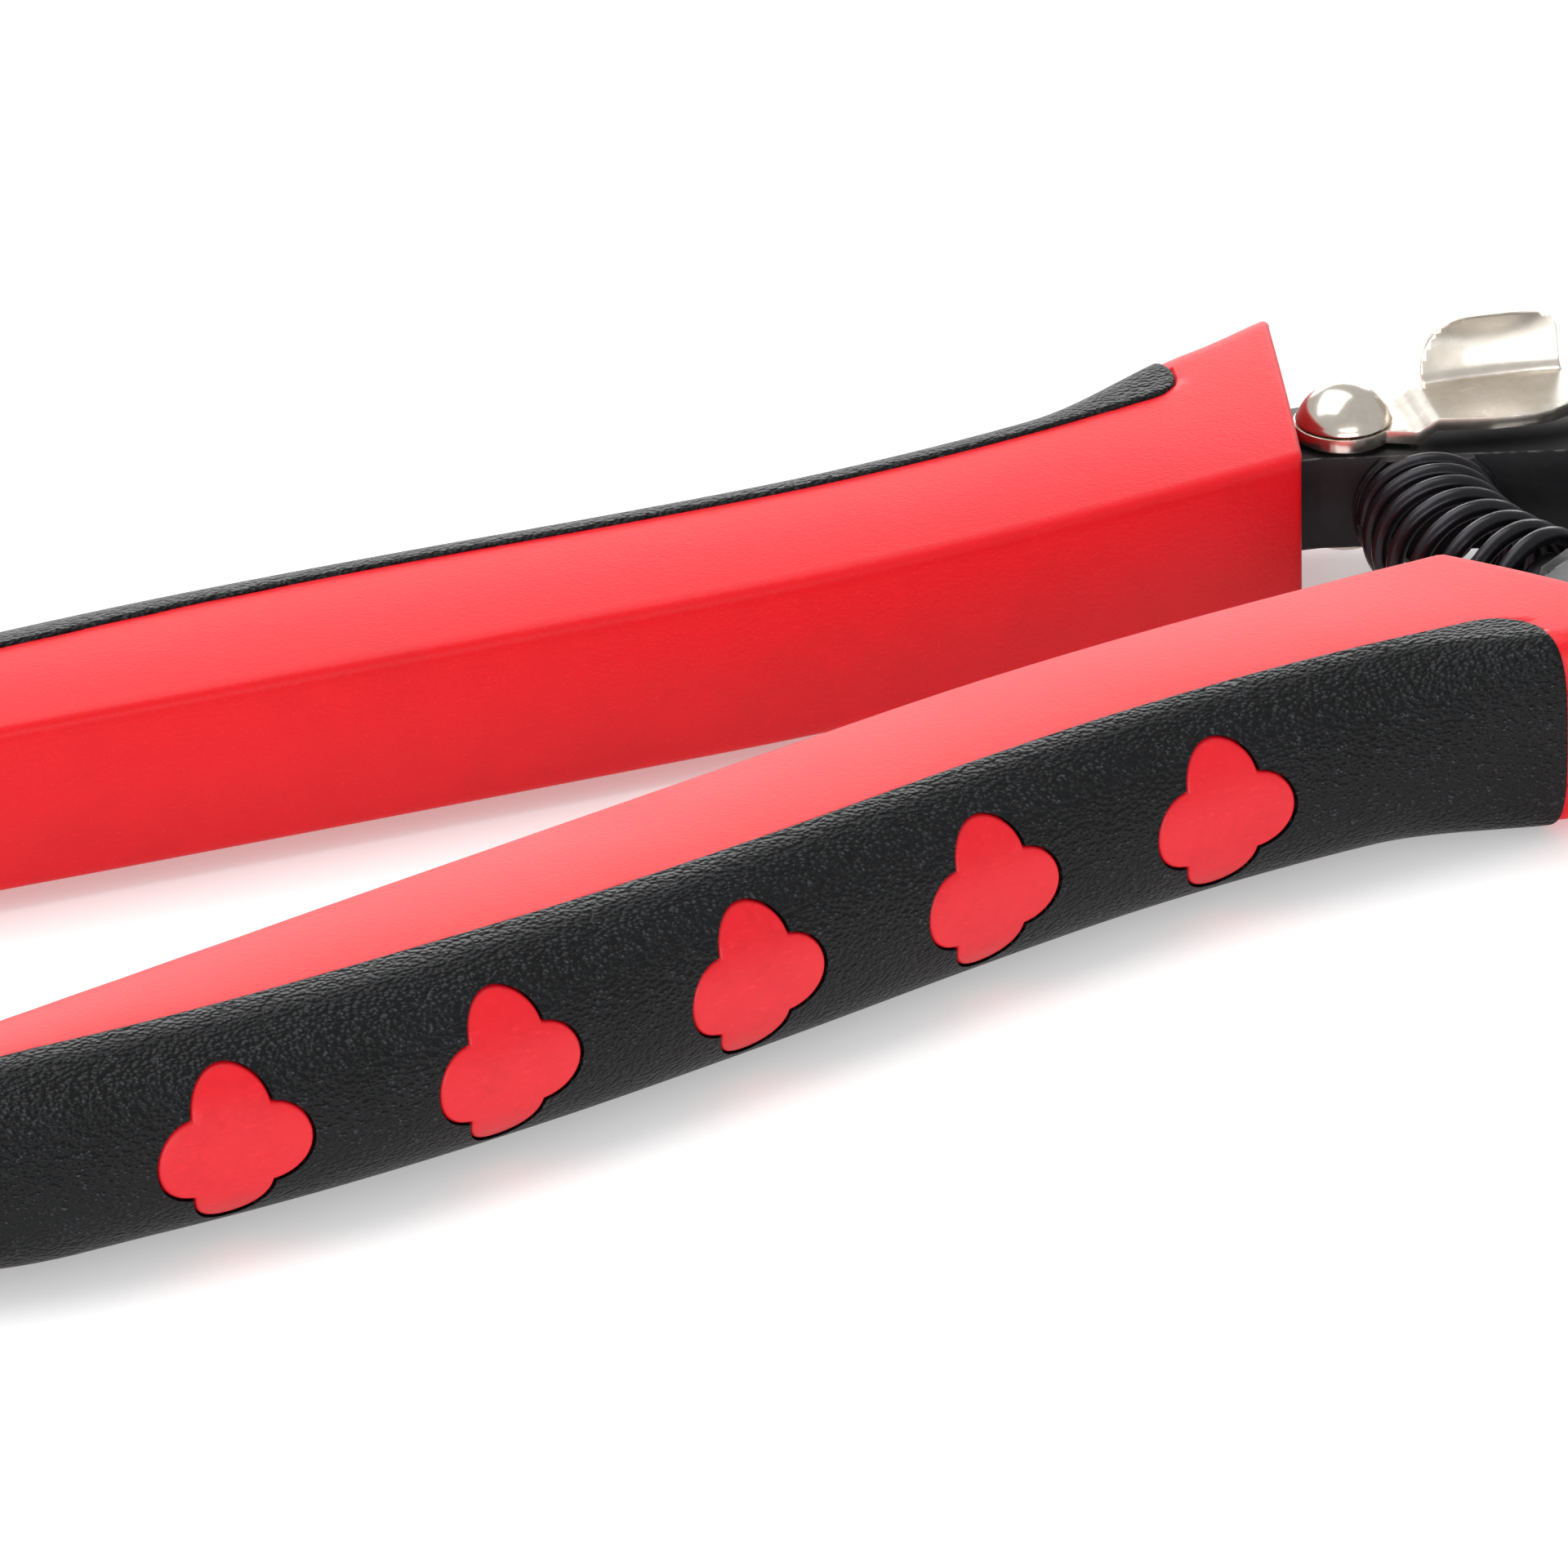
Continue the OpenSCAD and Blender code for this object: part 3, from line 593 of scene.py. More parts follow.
def coreObject(name):
    cut = math.radians(sleeve["headCut"])
    lean, edge = math.tan(cut), sleeve["headEdge"]
    # Each ring lies on a line in plan: its place at the midline, its lean, and how far it is drawn in.
    lines = [(sleeve["headX"], lean, edge)]
    for k in range(1, 7):
        a = math.pi / 2 * k / 6
        place = sleeve["headX"] - edge * (1 - math.cos(a)) / math.cos(cut)
        lines.append((place, lean, edge * (1 - math.sin(a))))
    start, upright = lines[-1][0], sleeve["uprightFrom"]
    for x in np.arange(start - 0.7, upright, -0.9):
        lines.append((x, lean * (x - upright) / (start - upright), 0.0))
    lines += [(x, 0.0, 0.0) for x in np.arange(upright - 0.6, sleeve["buttFrom"] - 0.1, -1.2)]
    lines += [(x, 0.0, 0.0) for x in buttStations(sleeve["buttFrom"], 16)[:-1]]
    halfCount = 75
    points = []
    for base, slant, inset in lines:
        upper = []
        x = base + slant * innerY(base)
        for j in range(halfCount + 1):
            share = j / halfCount
            for _ in range(4 if slant else 1):
                run, pts = sectionAt(x)
                x = base + slant * np.interp(share * run[-1], run, pts[:, 0])
            section = sectionAt(x)
            place = share * section[0][-1]
            y, z, ny, nz = [v[0] for v in pointsOn(section, np.array([place]))]
            sunk = inset
            if x < grip["headX"] - 0.8:
                deep = place - gripStart(x, section)
                sunk += min(grip["skin"] + 0.05, max(0.0, (deep - 0.25) * 1.4))
            upper.append((x, y - ny * sunk, z - nz * sunk))
        points += upper + [(x, y, -z) for x, y, z in upper[-2:0:-1]]
    columns = 2 * halfCount
    faces = gridFaces(len(lines), columns, closeColumns=True)
    faces.append(tuple(range(columns))[::-1])
    faces.append(tuple(range(len(points) - columns, len(points))))
    return meshObject(name, points, faces)


def gripObject(name):
    w = grip["lip"]
    lipSteps = [0, 0.02, 0.07, 0.15, 0.26, 0.4, 0.6, 0.8, 1.0]
    stations = [grip["headX"] - w * s for s in lipSteps]
    stations += [grip["headX"] - w - s for s in (0.25, 0.6, 1.0, 1.5, 2.1, 2.8, 3.6, 4.5, 5.4)]
    stations += list(np.arange(grip["headX"] - w - 6.3, -178, -1.0))
    stations += list(np.arange(-178.5, grip["tipX"] + 0.3, -0.5))
    nose = grip["noseLength"]
    stations += [grip["tipX"] - nose * s for s in (0.0, 0.12, 0.3, 0.5, 0.68, 0.82, 0.92, 0.98, 1.0)]
    last = stations[-1]
    stations += buttStations(last, 18)[:-1]
    inCount = 44
    outer, inner = [], []
    for x in stations:
        section = sectionAt(x)
        total = section[0][-1]
        start = gripStart(x, section)
        closed = start < 1e-6
        near = gripStart(x + 0.1, section) - gripStart(x - 0.1, section)
        slant = min(5.0, math.hypot(1, near / 0.2))
        spread = min(w * slant, (total - start) * 0.45)
        places = [start + spread * s for s in lipSteps]
        places += list(start + spread + (total - start - spread) * np.linspace(0, 1, inCount)[1:])
        places = np.array(places)
        y, z, ny, nz = pointsOn(section, places)
        rise = []
        for p in places:
            d = (p - start) / slant if not closed else w
            if x < grip["tipX"]:
                d = max(d, 0.0)
            d = min(d, grip["headX"] - x, w) / w
            rise.append(grip["proud"] * math.sqrt(max(0.0, 1 - (1 - d) ** 2)))
        rise = np.array(rise)
        skin = grip["skin"]
        count = len(places)
        for store, shift in ((outer, rise), (inner, -skin * np.ones(count))):
            upper = [(x, y[j] + ny[j] * shift[j], z[j] + nz[j] * shift[j]) for j in range(count)]
            lower = [(px, py, -pz) for px, py, pz in upper[-2::-1]]
            store.append(upper + lower)
    columns = len(outer[0])
    rows = len(stations)
    points = [p for row in outer for p in row] + [p for row in inner for p in row]
    shift = rows * columns
    faces = gridFaces(rows, columns)
    faces += [f[::-1] for f in gridFaces(rows, columns, offset=shift)]
    for i in range(rows - 1):  # the two long rims; where the grip closes on itself they fall away
        for j in (0, columns - 1):
            a, b = i * columns + j, (i + 1) * columns + j
            if gripClosed(stations[i]) and gripClosed(stations[i + 1]):
                continue
            faces.append((a, b, b + shift, a + shift))
    for j in range(columns - 1):  # head end
        faces.append((j, j + 1, j + 1 + shift, j + shift))
    for base, depth in ((shift - columns, sleeve["buttEnd"] - 0.35),
                        (2 * shift - columns, sleeve["buttEnd"] + 1.2)):
        row = points[base:base + columns]
        middle = np.mean([p[1] for p in row])
        points.append((depth, middle, 0.0))
        tip = len(points) - 1
        faces += [(base + j, base + j + 1, tip) for j in range(columns - 1)]
    return meshObject(name, points, faces)


def gripClosed(x):
    return x <= grip["tipX"] - grip["noseLength"] + 1e-6


def cloverRadius(angle, gap):
    best = inlay["lobe"] + gap
    for k in range(4):
        lean = math.radians(inlay["turn"] + 90 * k) - angle
        along = inlay["out"] * math.cos(lean)
        off = inlay["out"] * math.sin(lean)
        inside = (inlay["lobe"] + gap) ** 2 - off * off
        if inside > 0:
            best = max(best, along + math.sqrt(inside))
    return best


# Outer side of the sleeve: its y at place x and height z.
def sideY(x, z):
    w, crest, power, high = outerRound(x)
    tall = min(abs(z) / crest, 0.999)
    return high - w + w * math.sqrt(1 - tall ** (2 / power)) ** power


def inlayFrame(index):
    x = inlay["first"] - index * inlay["pitch"]
    lean = math.atan2(outerY(x + 2) - outerY(x - 2), 4)
    return (x, outerY(x) - inlay["wall"] - inlay["back"]), lean


def inlayPoint(index, u, v, lift):
    (ox, oy), lean = inlayFrame(index)
    c, s = math.cos(lean), math.sin(lean)
    w = 6.0
    for _ in range(8):
        w = (sideY(ox + c * u - s * w, v) - oy - s * u) / c
    w += lift
    return (ox + c * u - s * w, oy + s * u + c * w, -v)


def inlayObject(name, index):
    count = 168
    angles = [2 * math.pi * k / count for k in range(count)]
    rim = inlay["rim"]
    rings = [(share, 0.0, inlay["proud"]) for share in (0.12, 0.28, 0.44, 0.6, 0.74, 0.86)]
    for k in range(6):
        a = math.pi / 2 * k / 5
        rings.append((1.0, rim * (1 - math.sin(a)), inlay["proud"] - rim * (1 - math.cos(a))))
    rings += [(1.0, 0.0, -grip["skin"] * 0.5), (1.0, 0.0, -grip["skin"] + 0.02)]
    points = [inlayPoint(index, 0, 0, inlay["proud"])]
    for share, inset, lift in rings:
        for a in angles:
            r = cloverRadius(a, 0.0)
            r = (r - rim) * share if share < 1 else r - inset
            points.append(inlayPoint(index, r * math.cos(a), r * math.sin(a), lift))
    faces = [(0, 1 + k, 1 + (k + 1) % count) for k in range(count)]
    faces += gridFaces(len(rings), count, closeColumns=True, offset=1)
    points.append(inlayPoint(index, 0, 0, -grip["skin"] + 0.02))
    base = 1 + (len(rings) - 1) * count
    faces += [(base + (k + 1) % count, base + k, len(points) - 1) for k in range(count)]
    return meshObject(name, points, faces)


def windowCutter(index):
    (ox, oy), lean = inlayFrame(index)
    c, s = math.cos(lean), math.sin(lean)
    count = 168
    points = []
    for w in (1.2, 12.0):
        for k in range(count):
            a = 2 * math.pi * k / count
            r = cloverRadius(a, inlay["gap"])
            u, v = r * math.cos(a), r * math.sin(a)
            points.append((ox + c * u - s * w, oy + s * u + c * w, -v))
    faces = gridFaces(2, count, closeColumns=True)
    faces += [tuple(range(count))[::-1], tuple(range(count, 2 * count))]
    return meshObject("windowCutter", points, faces)


for side, place in (("far", lambda piece: piece), ("near", mirrorY)):
    body = side + "_handle"
    core = place(coreObject(side + "Core"))
    dress(core, "hard red plastic", body, [side + "_core"])
    soft = gripObject(side + "Grip")
    combine(soft, [windowCutter(k) for k in range(inlay["count"])], "DIFFERENCE")
    dress(place(soft), "black soft grip", body, [side + "_grip"], sharp=50)
    for k in range(inlay["count"]):
        pad = place(inlayObject(side + "Inlay" + str(k + 1), k))
        dress(pad, "red inlay", body, [side + "_inlay_" + str(k + 1)], sharp=60)
    print(side, "grip built:", len(core.data.polygons), "core faces,", len(soft.data.polygons), "grip faces")


tang = {
    "thick": 9.0, "slope": 27.0, "width": 10.4, "reach": 122.0, "disc": 7.5, "lap": 0.1,
    "pivotHole": 3.56, "forkX": 11.0, "forkY": 12.0, "fork": 4.8, "slot": 2.05, "soften": 0.45,
}
rivet = {"x": -28.8, "y": 19.8, "shank": 2.2, "dome": 4.4, "domeHeight": 3.5, "lift": 4.95}


def tangObject(name, upper):
    along = np.array([-math.cos(math.radians(tang["slope"])), math.sin(math.radians(tang["slope"]))])
    x = -tang["reach"]
    end = np.array([x, (innerY(x) + outerY(x)) / 2 - tang["width"] / 2])
    neck = 37 * along + np.array([-4, 1.2])
    half = tang["thick"] / 2
    corners = [3 * along, 37 * along, neck, end, end + [0, tang["width"] * 0.8], neck + [0, tang["width"]],
               (rivet["x"] + 3, rivet["y"] + 7.2), (-14, 21), (-2, tang["forkY"] + 6.2),
               np.array([tang["forkX"], tang["forkY"]]) + tang["fork"] * np.array([-0.2, 0.97]),
               (tang["forkX"], tang["forkY"] - tang["fork"]), (5, 4)]
    outline = roundedOutline(corners, [0, 3, 0, 2, 2, 0, 3, 6, 6, 0, 0, 0])
    piece = prism(name, outline, -half, half)
    combine(piece, [disc((0, 0), tang["disc"], -half, half),
                    disc((tang["forkX"], tang["forkY"]), tang["fork"], -half, half)],
            "UNION")
    slotX, slotY = tang["forkX"], tang["forkY"]
    cutR = tang["fork"] + 0.9
    lapped = (-6, tang["lap"]) if upper else (-tang["lap"], 6)
    cuts = [disc((0, 0), tang["disc"] + 0.4, *lapped),
            disc((slotX, slotY), cutR, -tang["slot"], tang["slot"]),
            prism("t", [(slotX, slotY - cutR), (slotX + 20, slotY - cutR), (slotX + 20, slotY + cutR),
                        (slotX, slotY + cutR)], -tang["slot"], tang["slot"])]
    combine(piece, cuts, "DIFFERENCE")
    softenEdges(piece, tang["soften"])
    combine(piece, [disc((0, 0), tang["pivotHole"], -9, 9)], "DIFFERENCE")
    return piece


dress(tangObject("farTang", False), "blackened steel", "far_handle", ["far_tang"])
dress(mirrorY(tangObject("nearTang", True)), "blackened steel", "near_handle", ["near_tang"])
print("tangs built")


head = {
    "tailX": 11.0, "tailY": 12.0, "tailPin": 2.2, "boltX": 21.0, "boltY": 7.0, "bolt": 2.9,
    "jawTurn": 6.54, "jawThick": 6.0, "jawLength": 27.0, "boss": 6.0, "tailThick": 3.8,
    "bevelDepth": 3.2, "edgeGap": 0.06, "plateZ": 3.05, "plateThick": 2.5,
}


def jawObject(name):
    shut = turned((head["tailX"] - head["boltX"], head["tailY"] - head["boltY"]), -head["jawTurn"])
    edgeY = head["edgeGap"] - head["boltY"]
    length, half = head["jawLength"], head["jawThick"] / 2
    corners = [shut + [0.5, -4.6], (3, -5.4), (5.5, edgeY), (length, edgeY), (length + 0.6, edgeY + 3),
               (length - 5, edgeY + 9.5), (length * 0.5, 5.4), (4, 6.6), (-2, 7.4), shut + [0.5, 4.6]]
    piece = prism(name, roundedOutline(corners, [0, 1.5, 0.4, 0, 1.2, 5, 6, 3, 3, 0]), -half, half)
    combine(piece, [disc((0, 0), head["boss"], -half, half),
                    disc(shut, tang["fork"], -half, half)], "UNION")
    tail, edgeX = head["tailThick"] / 2, 0.4 - head["boss"]
    cuts = []
    for low, high in ((tail, 9), (-9, -tail)):
        cuts.append(disc(shut, tang["fork"] + 0.6, low, high))
        cuts.append(prism("t", [(-20, -20), (edgeX, -20), (edgeX, 20), (-20, 20)], low, high))
    combine(piece, cuts, "DIFFERENCE")
    softenEdges(piece, 0.5)
    # The cutting bevels are ground after the edges are eased, so their lines stay crisp.
    slope = math.atan((half - 0.25) / head["bevelDepth"])
    wedges = []
    for flip in (1, -1):
        far = 12.0
        section = [(edgeY, 0.25), (edgeY + far * math.cos(slope), 0.25 + far * math.sin(slope)),
                   (edgeY - 3, 12.0), (edgeY - 3, 0.25)]
        start, end = 7.2, length + 3
        points = [(x, y, flip * z) for x in (start, end) for y, z in section]
        faces = [(0, 1, 2, 3), (7, 6, 5, 4)] + [(k, (k + 1) % 4, 4 + (k + 1) % 4, 4 + k) for k in range(4)]
        wedges.append(meshObject("t", points, faces))
    combine(piece, wedges, "DIFFERENCE")
    holes = [disc((0, 0), head["bolt"] + 0.06, -9, 9),
             disc(shut, head["tailPin"] + 0.06, -9, 9)]
    combine(piece, holes, "DIFFERENCE")
    piece.data.transform(Matrix.Translation((head["boltX"] * mm, head["boltY"] * mm, 0))
                         @ Matrix.Rotation(math.radians(head["jawTurn"]), 4, "Z"))
    return piece


def plateObject(name):
    r, x, y = head["boss"], head["boltX"], head["boltY"]
    outline = [(x + r * math.cos(a), y + r * math.sin(a)) for a in np.linspace(0, math.pi, 33)]
    outline += [(x + r * math.cos(a), -y + r * math.sin(a)) for a in np.linspace(math.pi, 2 * math.pi, 33)]
    piece = prism(name, outline, head["plateZ"], head["plateZ"] + head["plateThick"])
    softenEdges(piece, 0.5)
    return combine(piece, [disc((x, s * y), head["bolt"] + 0.02, 0, 9) for s in (1, -1)],
                   "DIFFERENCE")


# Cap-headed bolt: eased rim, low crown and a hexagon socket.
def boltObject(name, centre, shank, capRadius, capHeight, top, length, socketDepth):
    ease, crown = 0.45, 0.25
    profile = [(0, top - length), (shank - 0.4, top - length), (shank, top - length + 0.4), (shank, top),
               (capRadius, top)]
    profile += arcProfile((capRadius - ease, top + capHeight - crown - ease), ease, 0, 70, 5)
    profile += [(capRadius * 0.75, top + capHeight - 0.08), (shank * 0.95, top + capHeight),
                (0, top + capHeight)]
    piece = lathe(name, centre, profile)
    across = shank * 0.75
    socket = [(centre[0] + across * math.cos(math.radians(60 * k + 20)),
               centre[1] + across * math.sin(math.radians(60 * k + 20))) for k in range(6)]
    combine(piece, [prism("t", socket, top + capHeight - socketDepth, top + capHeight + 2)], "DIFFERENCE")
    return piece


# Hexagon nut with its corners turned off at both faces.
def nutObject(name, centre, across, height, top, bore):
    corner = across / math.sqrt(3)
    hexagon = [(centre[0] + corner * math.cos(math.radians(60 * k)),
                centre[1] + corner * math.sin(math.radians(60 * k))) for k in range(6)]
    piece = prism(name, hexagon, top - height, top)
    barrel = [(0, top - height), (across / 2 * 0.98, top - height), (corner, top - height + 0.55),
              (corner, top - 0.35), (across / 2 * 1.02, top), (0, top)]
    combine(piece, [lathe("t", centre, barrel)], "INTERSECT")
    combine(piece, [disc(centre, bore, top - height - 1, top + 1)], "DIFFERENCE")
    return piece


def pinObject(name, centre, radius, half):
    rise = 1.1
    upper = [(3.6, half), (3.6, half + 0.25), (3.35, half + 0.6), (2.8, half + 0.9), (1.6, half + rise),
             (0, half + rise)]
    profile = [(r, -z) for r, z in upper[::-1]] + [(radius, -half), (radius, half)] + upper
    return lathe(name, centre, profile)


stackTop = head["plateZ"] + head["plateThick"]
for side, place in (("far", lambda piece: piece), ("near", mirrorY)):
    dress(place(jawObject(side + "Jaw")), "blackened steel", side + "_jaw", [side + "_jaw"])
    centre = (head["boltX"], head["boltY"])
    bolt = boltObject(side + "JawBolt", centre, head["bolt"], 5.0, 2.0, stackTop, 2 * stackTop + 2.0, 1.4)
    dress(place(bolt), "bright steel", "link_plates", [side + "_jaw_bolt"], sharp=30)
    nut = nutObject(side + "JawNut", centre, 10.0, 2.0, -stackTop, head["bolt"] + 0.01)
    dress(place(nut), "bright steel", "link_plates", [side + "_jaw_nut"], sharp=30)
    pin = pinObject(side + "TailPin", (head["tailX"], head["tailY"]), head["tailPin"], tang["thick"] / 2)
    dress(place(pin), "bright steel", side + "_handle", [side + "_tail_pin"], sharp=50)
dress(plateObject("upperPlate"), "blackened steel", "link_plates", ["upper_plate"])
dress(mirrorZ(plateObject("lowerPlate")), "blackened steel", "link_plates", ["lower_plate"])
dress(boltObject("pivotBolt", (0, 0), 3.5, 6.0, 1.4, 4.5, 11.6, 1.0), "blackened steel", "far_handle",
      ["pivot_bolt"], sharp=30)
dress(nutObject("pivotNut", (0, 0), 12.0, 2.6, -4.5, 3.51), "blackened steel", "far_handle",
      ["pivot_nut"], sharp=30)
print("head built")


spring = {"arm": 27.4, "outside": 13.6, "wire": 1.65, "coils": 8, "drop": 0.9, "fan": 22.72, "seat": 1.2,
          "seatLip": 4.5, "stem": 1.6, "stemDepth": 1.15, "crowding": 0.022}


def springObject(name):
    steps, sides = 60, 14
    meanR, wireR = (spring["outside"] - spring["wire"]) / 2, spring["wire"] / 2
    total = spring["coils"] * steps
    points = []
    for k in range(total + 1):
        t = k / total
        # The end coils lie closer together than the working ones.
        eased = t - spring["crowding"] * math.sin(2 * math.pi * t)
        swing = math.radians(180 - spring["fan"] + 2 * spring["fan"] * eased)
        a = 2 * math.pi * k / steps
        for j in range(sides):
            b = -2 * math.pi * j / sides
            r = meanR + wireR * math.cos(b)
            out, across = spring["arm"] + r * math.cos(a), wireR * math.sin(b)
            points.append((out * math.cos(swing) - across * math.sin(swing),
                           out * math.sin(swing) + across * math.cos(swing),
                           r * math.sin(a) - spring["drop"]))
    faces = gridFaces(total + 1, sides, closeColumns=True)
    faces += [tuple(range(sides))[::-1], tuple(range(len(points) - sides, len(points)))]
    return meshObject(name, points, faces)


def seatObject(name):
    lip, r = spring["outside"] / 2, spring["seatLip"]
    t = spring["seat"]
    deep = -spring["stemDepth"]
    profile = [(0, deep), (spring["stem"], deep), (spring["stem"], 0), (lip - 0.2, 0), (lip, 0.2),
               (lip, t - 0.3), (lip - 0.3, t), (r + 0.2, t), (r, t + 0.2), (r, t + 2.2), (r - 0.8, t + 3),
               (0, t + 3)]
    piece = lathe(name, (0, 0), profile, 72)
    slope = math.radians(tang["slope"])
    place = Matrix.Translation((-spring["arm"] * math.cos(slope) * mm, spring["arm"] * math.sin(slope) * mm,
                                -spring["drop"] * mm))
    piece.data.transform(place @ Matrix.Rotation(math.pi / 2 - slope, 4, "Z")
                         @ Matrix.Rotation(-math.pi / 2, 4, "Y"))
    # The flange is ground level with both faces of the tang.
    half = tang["thick"] / 2 - 0.02
    wide = [(-60, -60), (60, -60), (60, 60), (-60, 60)]
    return combine(piece, [prism("t", wide, -half, half)], "INTERSECT")


wire = springObject("returnSpring")
dress(wire, "oiled spring wire", None, ["spring"], sharp=80)
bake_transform(wire)
dress(seatObject("farSpringSeat"), "blackened steel", "far_handle", ["far_spring_seat"])
dress(mirrorY(seatObject("nearSpringSeat")), "blackened steel", "near_handle", ["near_spring_seat"])
print("spring built")


latch = {
    "thick": 1.2, "step": 1.2, "stepFrom": 5.6, "stepTo": 7.7, "turn": -16.0, "pad": 4.6, "hook": 30.0,
    "notch": 1.65, "wall": 1.8, "toe": 2.0, "toeNear": -3.6, "foldAt": 2.5, "tabFrom": 8.3, "tabTo": 21.2,
    "tabTall": 7.9, "shoulder": 5.0, "bend": 2.4, "bendAngle": 68.0, "curl": 0.05, "dish": 0.45,
    "grid": 0.5, "soften": 0.28,
}


# Lays a point of the flat blank into its bent place: up the step, then round the tab's curl.
def bendLatch(u, v, w):
    t = min(1.0, max(0.0, (u - latch["stepFrom"]) / (latch["stepTo"] - latch["stepFrom"])))
    z = latch["step"] * t * t * (3 - 2 * t)
    over = v - latch["foldAt"]
    if over <= 0 or not latch["tabFrom"] - 0.35 < u < latch["tabTo"] + 0.35:
        return u, v, z + w
    # A shallow dish for the thumb, deepest in the middle of the tab.
    sideways = (2 * u - latch["tabFrom"] - latch["tabTo"]) / (latch["tabTo"] - latch["tabFrom"])
    upward = (2 * over - latch["tabTall"]) / latch["tabTall"]
    w -= latch["dish"] * max(0.0, 1 - sideways ** 2) * max(0.0, 1 - upward ** 2)
    radius = latch["bend"]
    full = math.radians(latch["bendAngle"])
    arc = radius * full
    a = min(over, arc) / radius
    # Past the bend the tab goes on curling gently back over the arm.
    extra = max(0.0, over - arc)
    y = latch["foldAt"] + radius * math.sin(a)
    h = radius * (1 - math.cos(a))
    steps, lean = 12, a
    for _ in range(steps):
        lean = lean + latch["curl"] * extra / steps
        y += math.cos(lean) * extra / steps
        h += math.sin(lean) * extra / steps
    return u, y - math.sin(lean) * w, z + h + math.cos(lean) * w


def latchObject(name):
    n, hook, wall = latch["notch"], latch["hook"], latch["wall"]
    pad = [(latch["pad"] * math.cos(a), latch["pad"] * math.sin(a))
           for a in np.linspace(math.radians(48), math.radians(312), 26)]
    tabFrom, tabTo, bulge = latch["tabFrom"], latch["tabTo"], latch["shoulder"]
    near = [(5.6, -4.4), (7.7, -4.62), (10, -5.15), (12.5, -5.6), (15, -5.74), (17, -5.66), (18.4, -5.32),
            (19.6, -4.7), (20.8, -4.0), (22, -3.68), (hook - 4.4, latch["toeNear"])]
    toe = [(hook - 4.4 + latch["toe"] * math.sin(a), latch["toeNear"] + latch["toe"] * (1 - math.cos(a)))
           for a in np.linspace(0.15, math.pi / 2, 7)]
    notch = [(hook - n, -1.4)]
    notch += [(hook + n * math.cos(a), n * math.sin(a)) for a in np.linspace(math.pi, 0, 13)]
    notch += [(hook + n, -3.2)]
    nose = [(hook + n + 0.9, -3.2), (hook + n + wall, -2.2), (hook + n + wall + 0.1, 0),
            (hook + n + wall - 0.4, 2.4), (hook + 0.6, 3.7), (hook - 2, 3.8)]
    back = [(tabTo + 2.2, 3.6), (tabTo + 1.0, 3.2), (tabTo + 0.6, 2.1), (tabTo + 0.1, 2.0)]
    top = latch["foldAt"] + latch["tabTall"]
    tab = [(tabTo + 0.1, top - 1.8), (tabTo - 0.5, top - 0.7), (tabTo - 1.8, top - 0.15), (tabTo - 4, top)]
    tab += [(tabFrom + bulge * (1 - math.sin(a)), top - bulge * (1 - math.cos(a)))
            for a in np.linspace(0.1, math.pi / 2, 12)]
    front = [(tabFrom - 0.02, 2.05), (tabFrom - 0.45, 2.15), (tabFrom - 0.9, 3.0), (6.6, 3.25), (4.6, 3.4)]
    outline = pad + near + toe + notch + nose + back + tab + front
    step = latch["grid"]
    us = np.arange(-6, 36, step)
    vs = np.arange(-8, 16, step)
    slab = []
    for w in (0.0, latch["thick"]):
        slab += [(u, v, w) for v in vs for u in us]
    columns, rows = len(us), len(vs)
    count = columns * rows
    faces = [f[::-1] for f in gridFaces(rows, columns)] + gridFaces(rows, columns, offset=count)
    for j in range(columns - 1):
        for a in (j, (rows - 1) * columns + j):
            faces.append((a, a + 1, a + 1 + count, a + count))
    for i in range(rows - 1):
        for a in (i * columns, i * columns + columns - 1):
            faces.append((a, a + columns, a + columns + count, a + count))
    piece = meshObject(name, slab, faces)
    combine(piece, [prism("t", outline, -2, 4)], "INTERSECT")
    combine(piece, [disc((0, 0), rivet["shank"] + 0.06, -2, 4)], "DIFFERENCE")
    softenEdges(piece, latch["soften"], 2, 50)
    for vertex in piece.data.vertices:
        u, v, w = [c / mm for c in vertex.co]
        vertex.co = Vector(bendLatch(u, v, w)) * mm
    piece.data.transform(Matrix.Translation((rivet["x"] * mm, rivet["y"] * mm, rivet["lift"] * mm))
                         @ Matrix.Rotation(math.radians(latch["turn"]), 4, "Z"))
    return piece


def rivetObject(name):
    r, h = rivet["dome"], rivet["domeHeight"]
    base = rivet["lift"] + latch["thick"] + 0.05
    ball = (r * r + h * h) / (2 * h)
    half = math.degrees(math.asin(min(1.0, r / ball)))
    dome = arcProfile((0, base + h - ball), ball, 90 - half, 90, 22)
    profile = [(0, -5.6), (2.8, -5.6), (3.4, -5.2), (3.6, -4.51), (rivet["shank"], -4.5),
               (rivet["shank"], base), (r - 0.25, base), (r, base + 0.15), (r - 0.02, base + 0.3)]
    profile += [p for p in dome if p[1] > base + 0.32]
    profile[-1] = (0, base + h)
    return lathe(name, (rivet["x"], rivet["y"]), profile, 96)


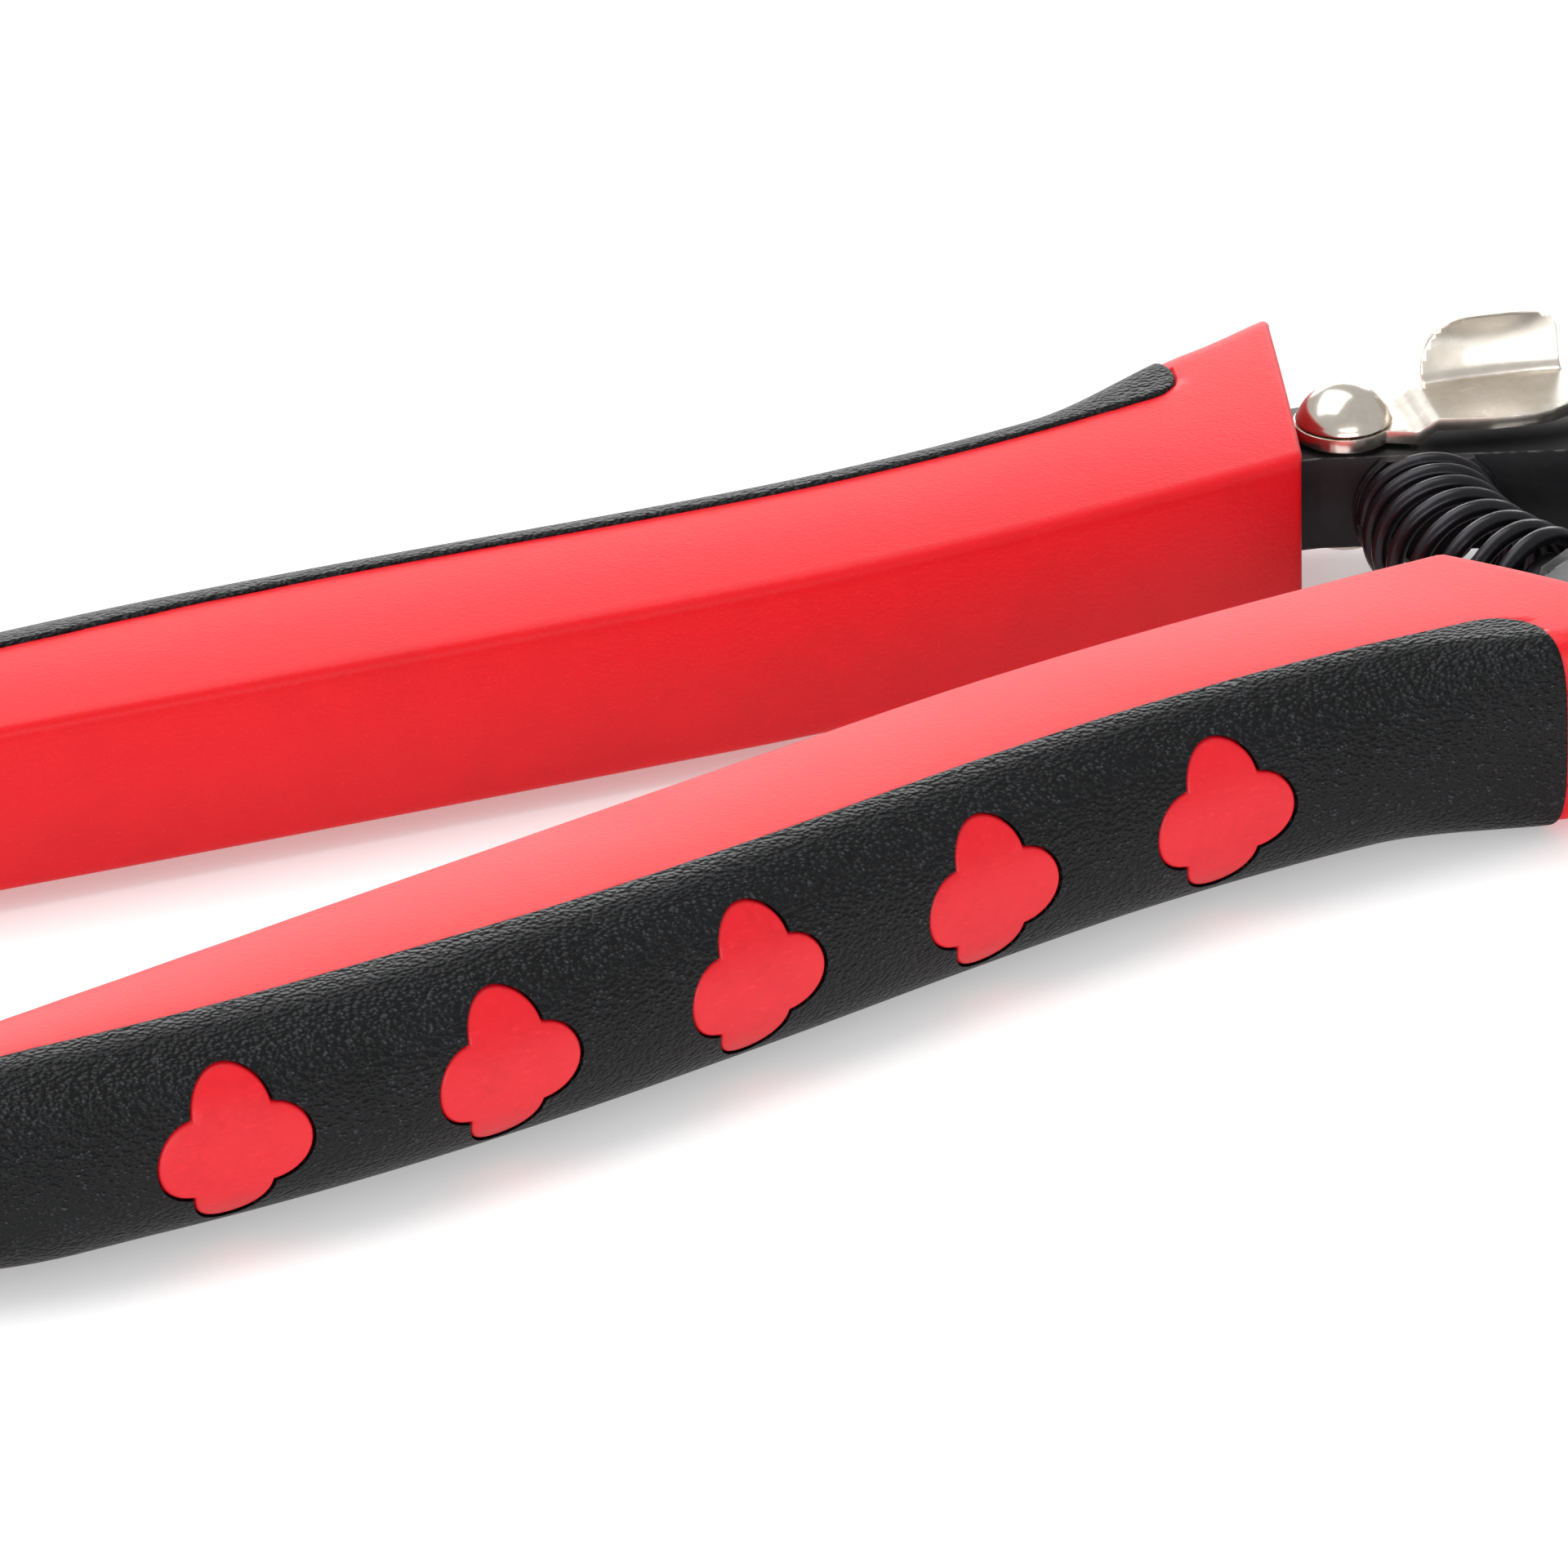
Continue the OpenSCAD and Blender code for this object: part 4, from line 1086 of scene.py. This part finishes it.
dress(latchObject("latchPlate"), "satin nickel", "latch", ["latch"], sharp=42)
dress(rivetObject("latchRivet"), "polished nickel", "far_handle", ["latch_rivet"], sharp=45)
washer = lathe("latchWasher", (rivet["x"], rivet["y"]),
               [(2.25, 4.5), (3.9, 4.5), (4.0, 4.6), (4.0, 4.8), (3.9, 4.9), (2.25, 4.9), (2.25, 4.5)])
dress(washer, "bright steel", "far_handle", ["latch_washer"])
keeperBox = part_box("keeper")
keeperAt = [(keeperBox[0][k] + keeperBox[1][k]) / 2 / mm for k in (0, 1)]
stud = [(0, keeperBox[0][2] / mm), (1.5, keeperBox[0][2] / mm), (1.5, keeperBox[1][2] / mm - 0.35),
        (1.4, keeperBox[1][2] / mm - 0.1), (1.15, keeperBox[1][2] / mm), (0, keeperBox[1][2] / mm)]
dress(lathe("keeperStud", keeperAt, stud, 48), "bright steel", "near_handle", ["keeper"], sharp=50)
for node in ("far_key_pin", "near_key_pin"):
    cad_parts[node].data.materials.clear()
    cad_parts[node].data.materials.append(finish["bright steel"])
print("latch built")


studio = {
    "floor": 3.0, "lens": 300.0, "eye": (-0.584018, -0.902693, 0.502343),
    "right": (0.8751, -0.4835, -0.0219), "up": (0.2315, 0.3785, 0.8962),
}


def softLight(name, place, aim, size, power, colour=(1.0, 1.0, 1.0)):
    lamp = bpy.data.lights.new(name, "AREA")
    lamp.shape = "RECTANGLE"
    lamp.size, lamp.size_y = size
    lamp.energy = power
    lamp.color = colour
    holder = bpy.data.objects.new(name, lamp)
    holder.location = place
    holder.rotation_euler = (Vector(aim) - Vector(place)).to_track_quat("-Z", "Y").to_euler()
    bpy.context.scene.collection.objects.link(holder)


def floorFinish():
    material = bpy.data.materials.new("pale floor")
    material.use_nodes = True
    tree = material.node_tree
    shader = tree.nodes["Principled BSDF"]
    smudge = placeGroup(tree, smudgeGroup, Size=3.0, Contrast=0.5)
    joinNodes(tree, mixColour(tree, smudge.outputs["Waves"], (0.80, 0.80, 0.80), (0.82, 0.82, 0.82)),
              shader.inputs["Base Color"])
    joinNodes(tree, mapRange(tree, smudge.outputs["Waves"], 0.75, 0.85), shader.inputs["Roughness"])
    shader.inputs["Specular IOR Level"].default_value = 0.1
    shader.inputs["Emission Color"].default_value = (1.0, 1.0, 1.0, 1.0)
    shader.inputs["Emission Strength"].default_value = 0.32
    return material


lowest = min(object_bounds()[0][2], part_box("far_core")[0][2])
half = studio["floor"]
floor = meshObject("floor", [(x * 1000, y * 1000, lowest / mm - 0.4) for x, y in
                             ((-half, -half), (half, -half), (half, half), (-half, half))], [(0, 1, 2, 3)])
floor.data.materials.append(floorFinish())

world = bpy.data.worlds.new("studio")
world.use_nodes = True
world.node_tree.nodes["Background"].inputs["Color"].default_value = (1.0, 1.0, 1.0, 1.0)
world.node_tree.nodes["Background"].inputs["Strength"].default_value = 0.62
bpy.context.scene.world = world
softLight("top box", (-0.25, 0.30, 0.80), (-0.09, 0.0, 0.0), (1.0, 0.8), 8.0)
softLight("back box", (0.50, 1.10, 0.30), (-0.09, 0.0, 0.0), (1.1, 0.3), 5.0)
softLight("front fill", (-0.45, -1.1, 0.30), (-0.09, 0.0, 0.0), (0.9, 0.4), 6.0)

camera = bpy.data.objects.new("camera", bpy.data.cameras.new("camera"))
camera.data.lens = studio["lens"]
camera.data.sensor_width = 36.0
camera.data.clip_start, camera.data.clip_end = 0.05, 20.0
right, up = Vector(studio["right"]).normalized(), Vector(studio["up"]).normalized()
back = right.cross(up).normalized()
up = back.cross(right)
camera.matrix_world = Matrix.Translation(studio["eye"]) @ Matrix((right, up, back)).transposed().to_4x4()
bpy.context.scene.collection.objects.link(camera)
bpy.context.scene.camera = camera
bpy.context.scene.view_settings.view_transform = "Standard"
bpy.context.scene.view_settings.exposure = 0.0
print("set built")
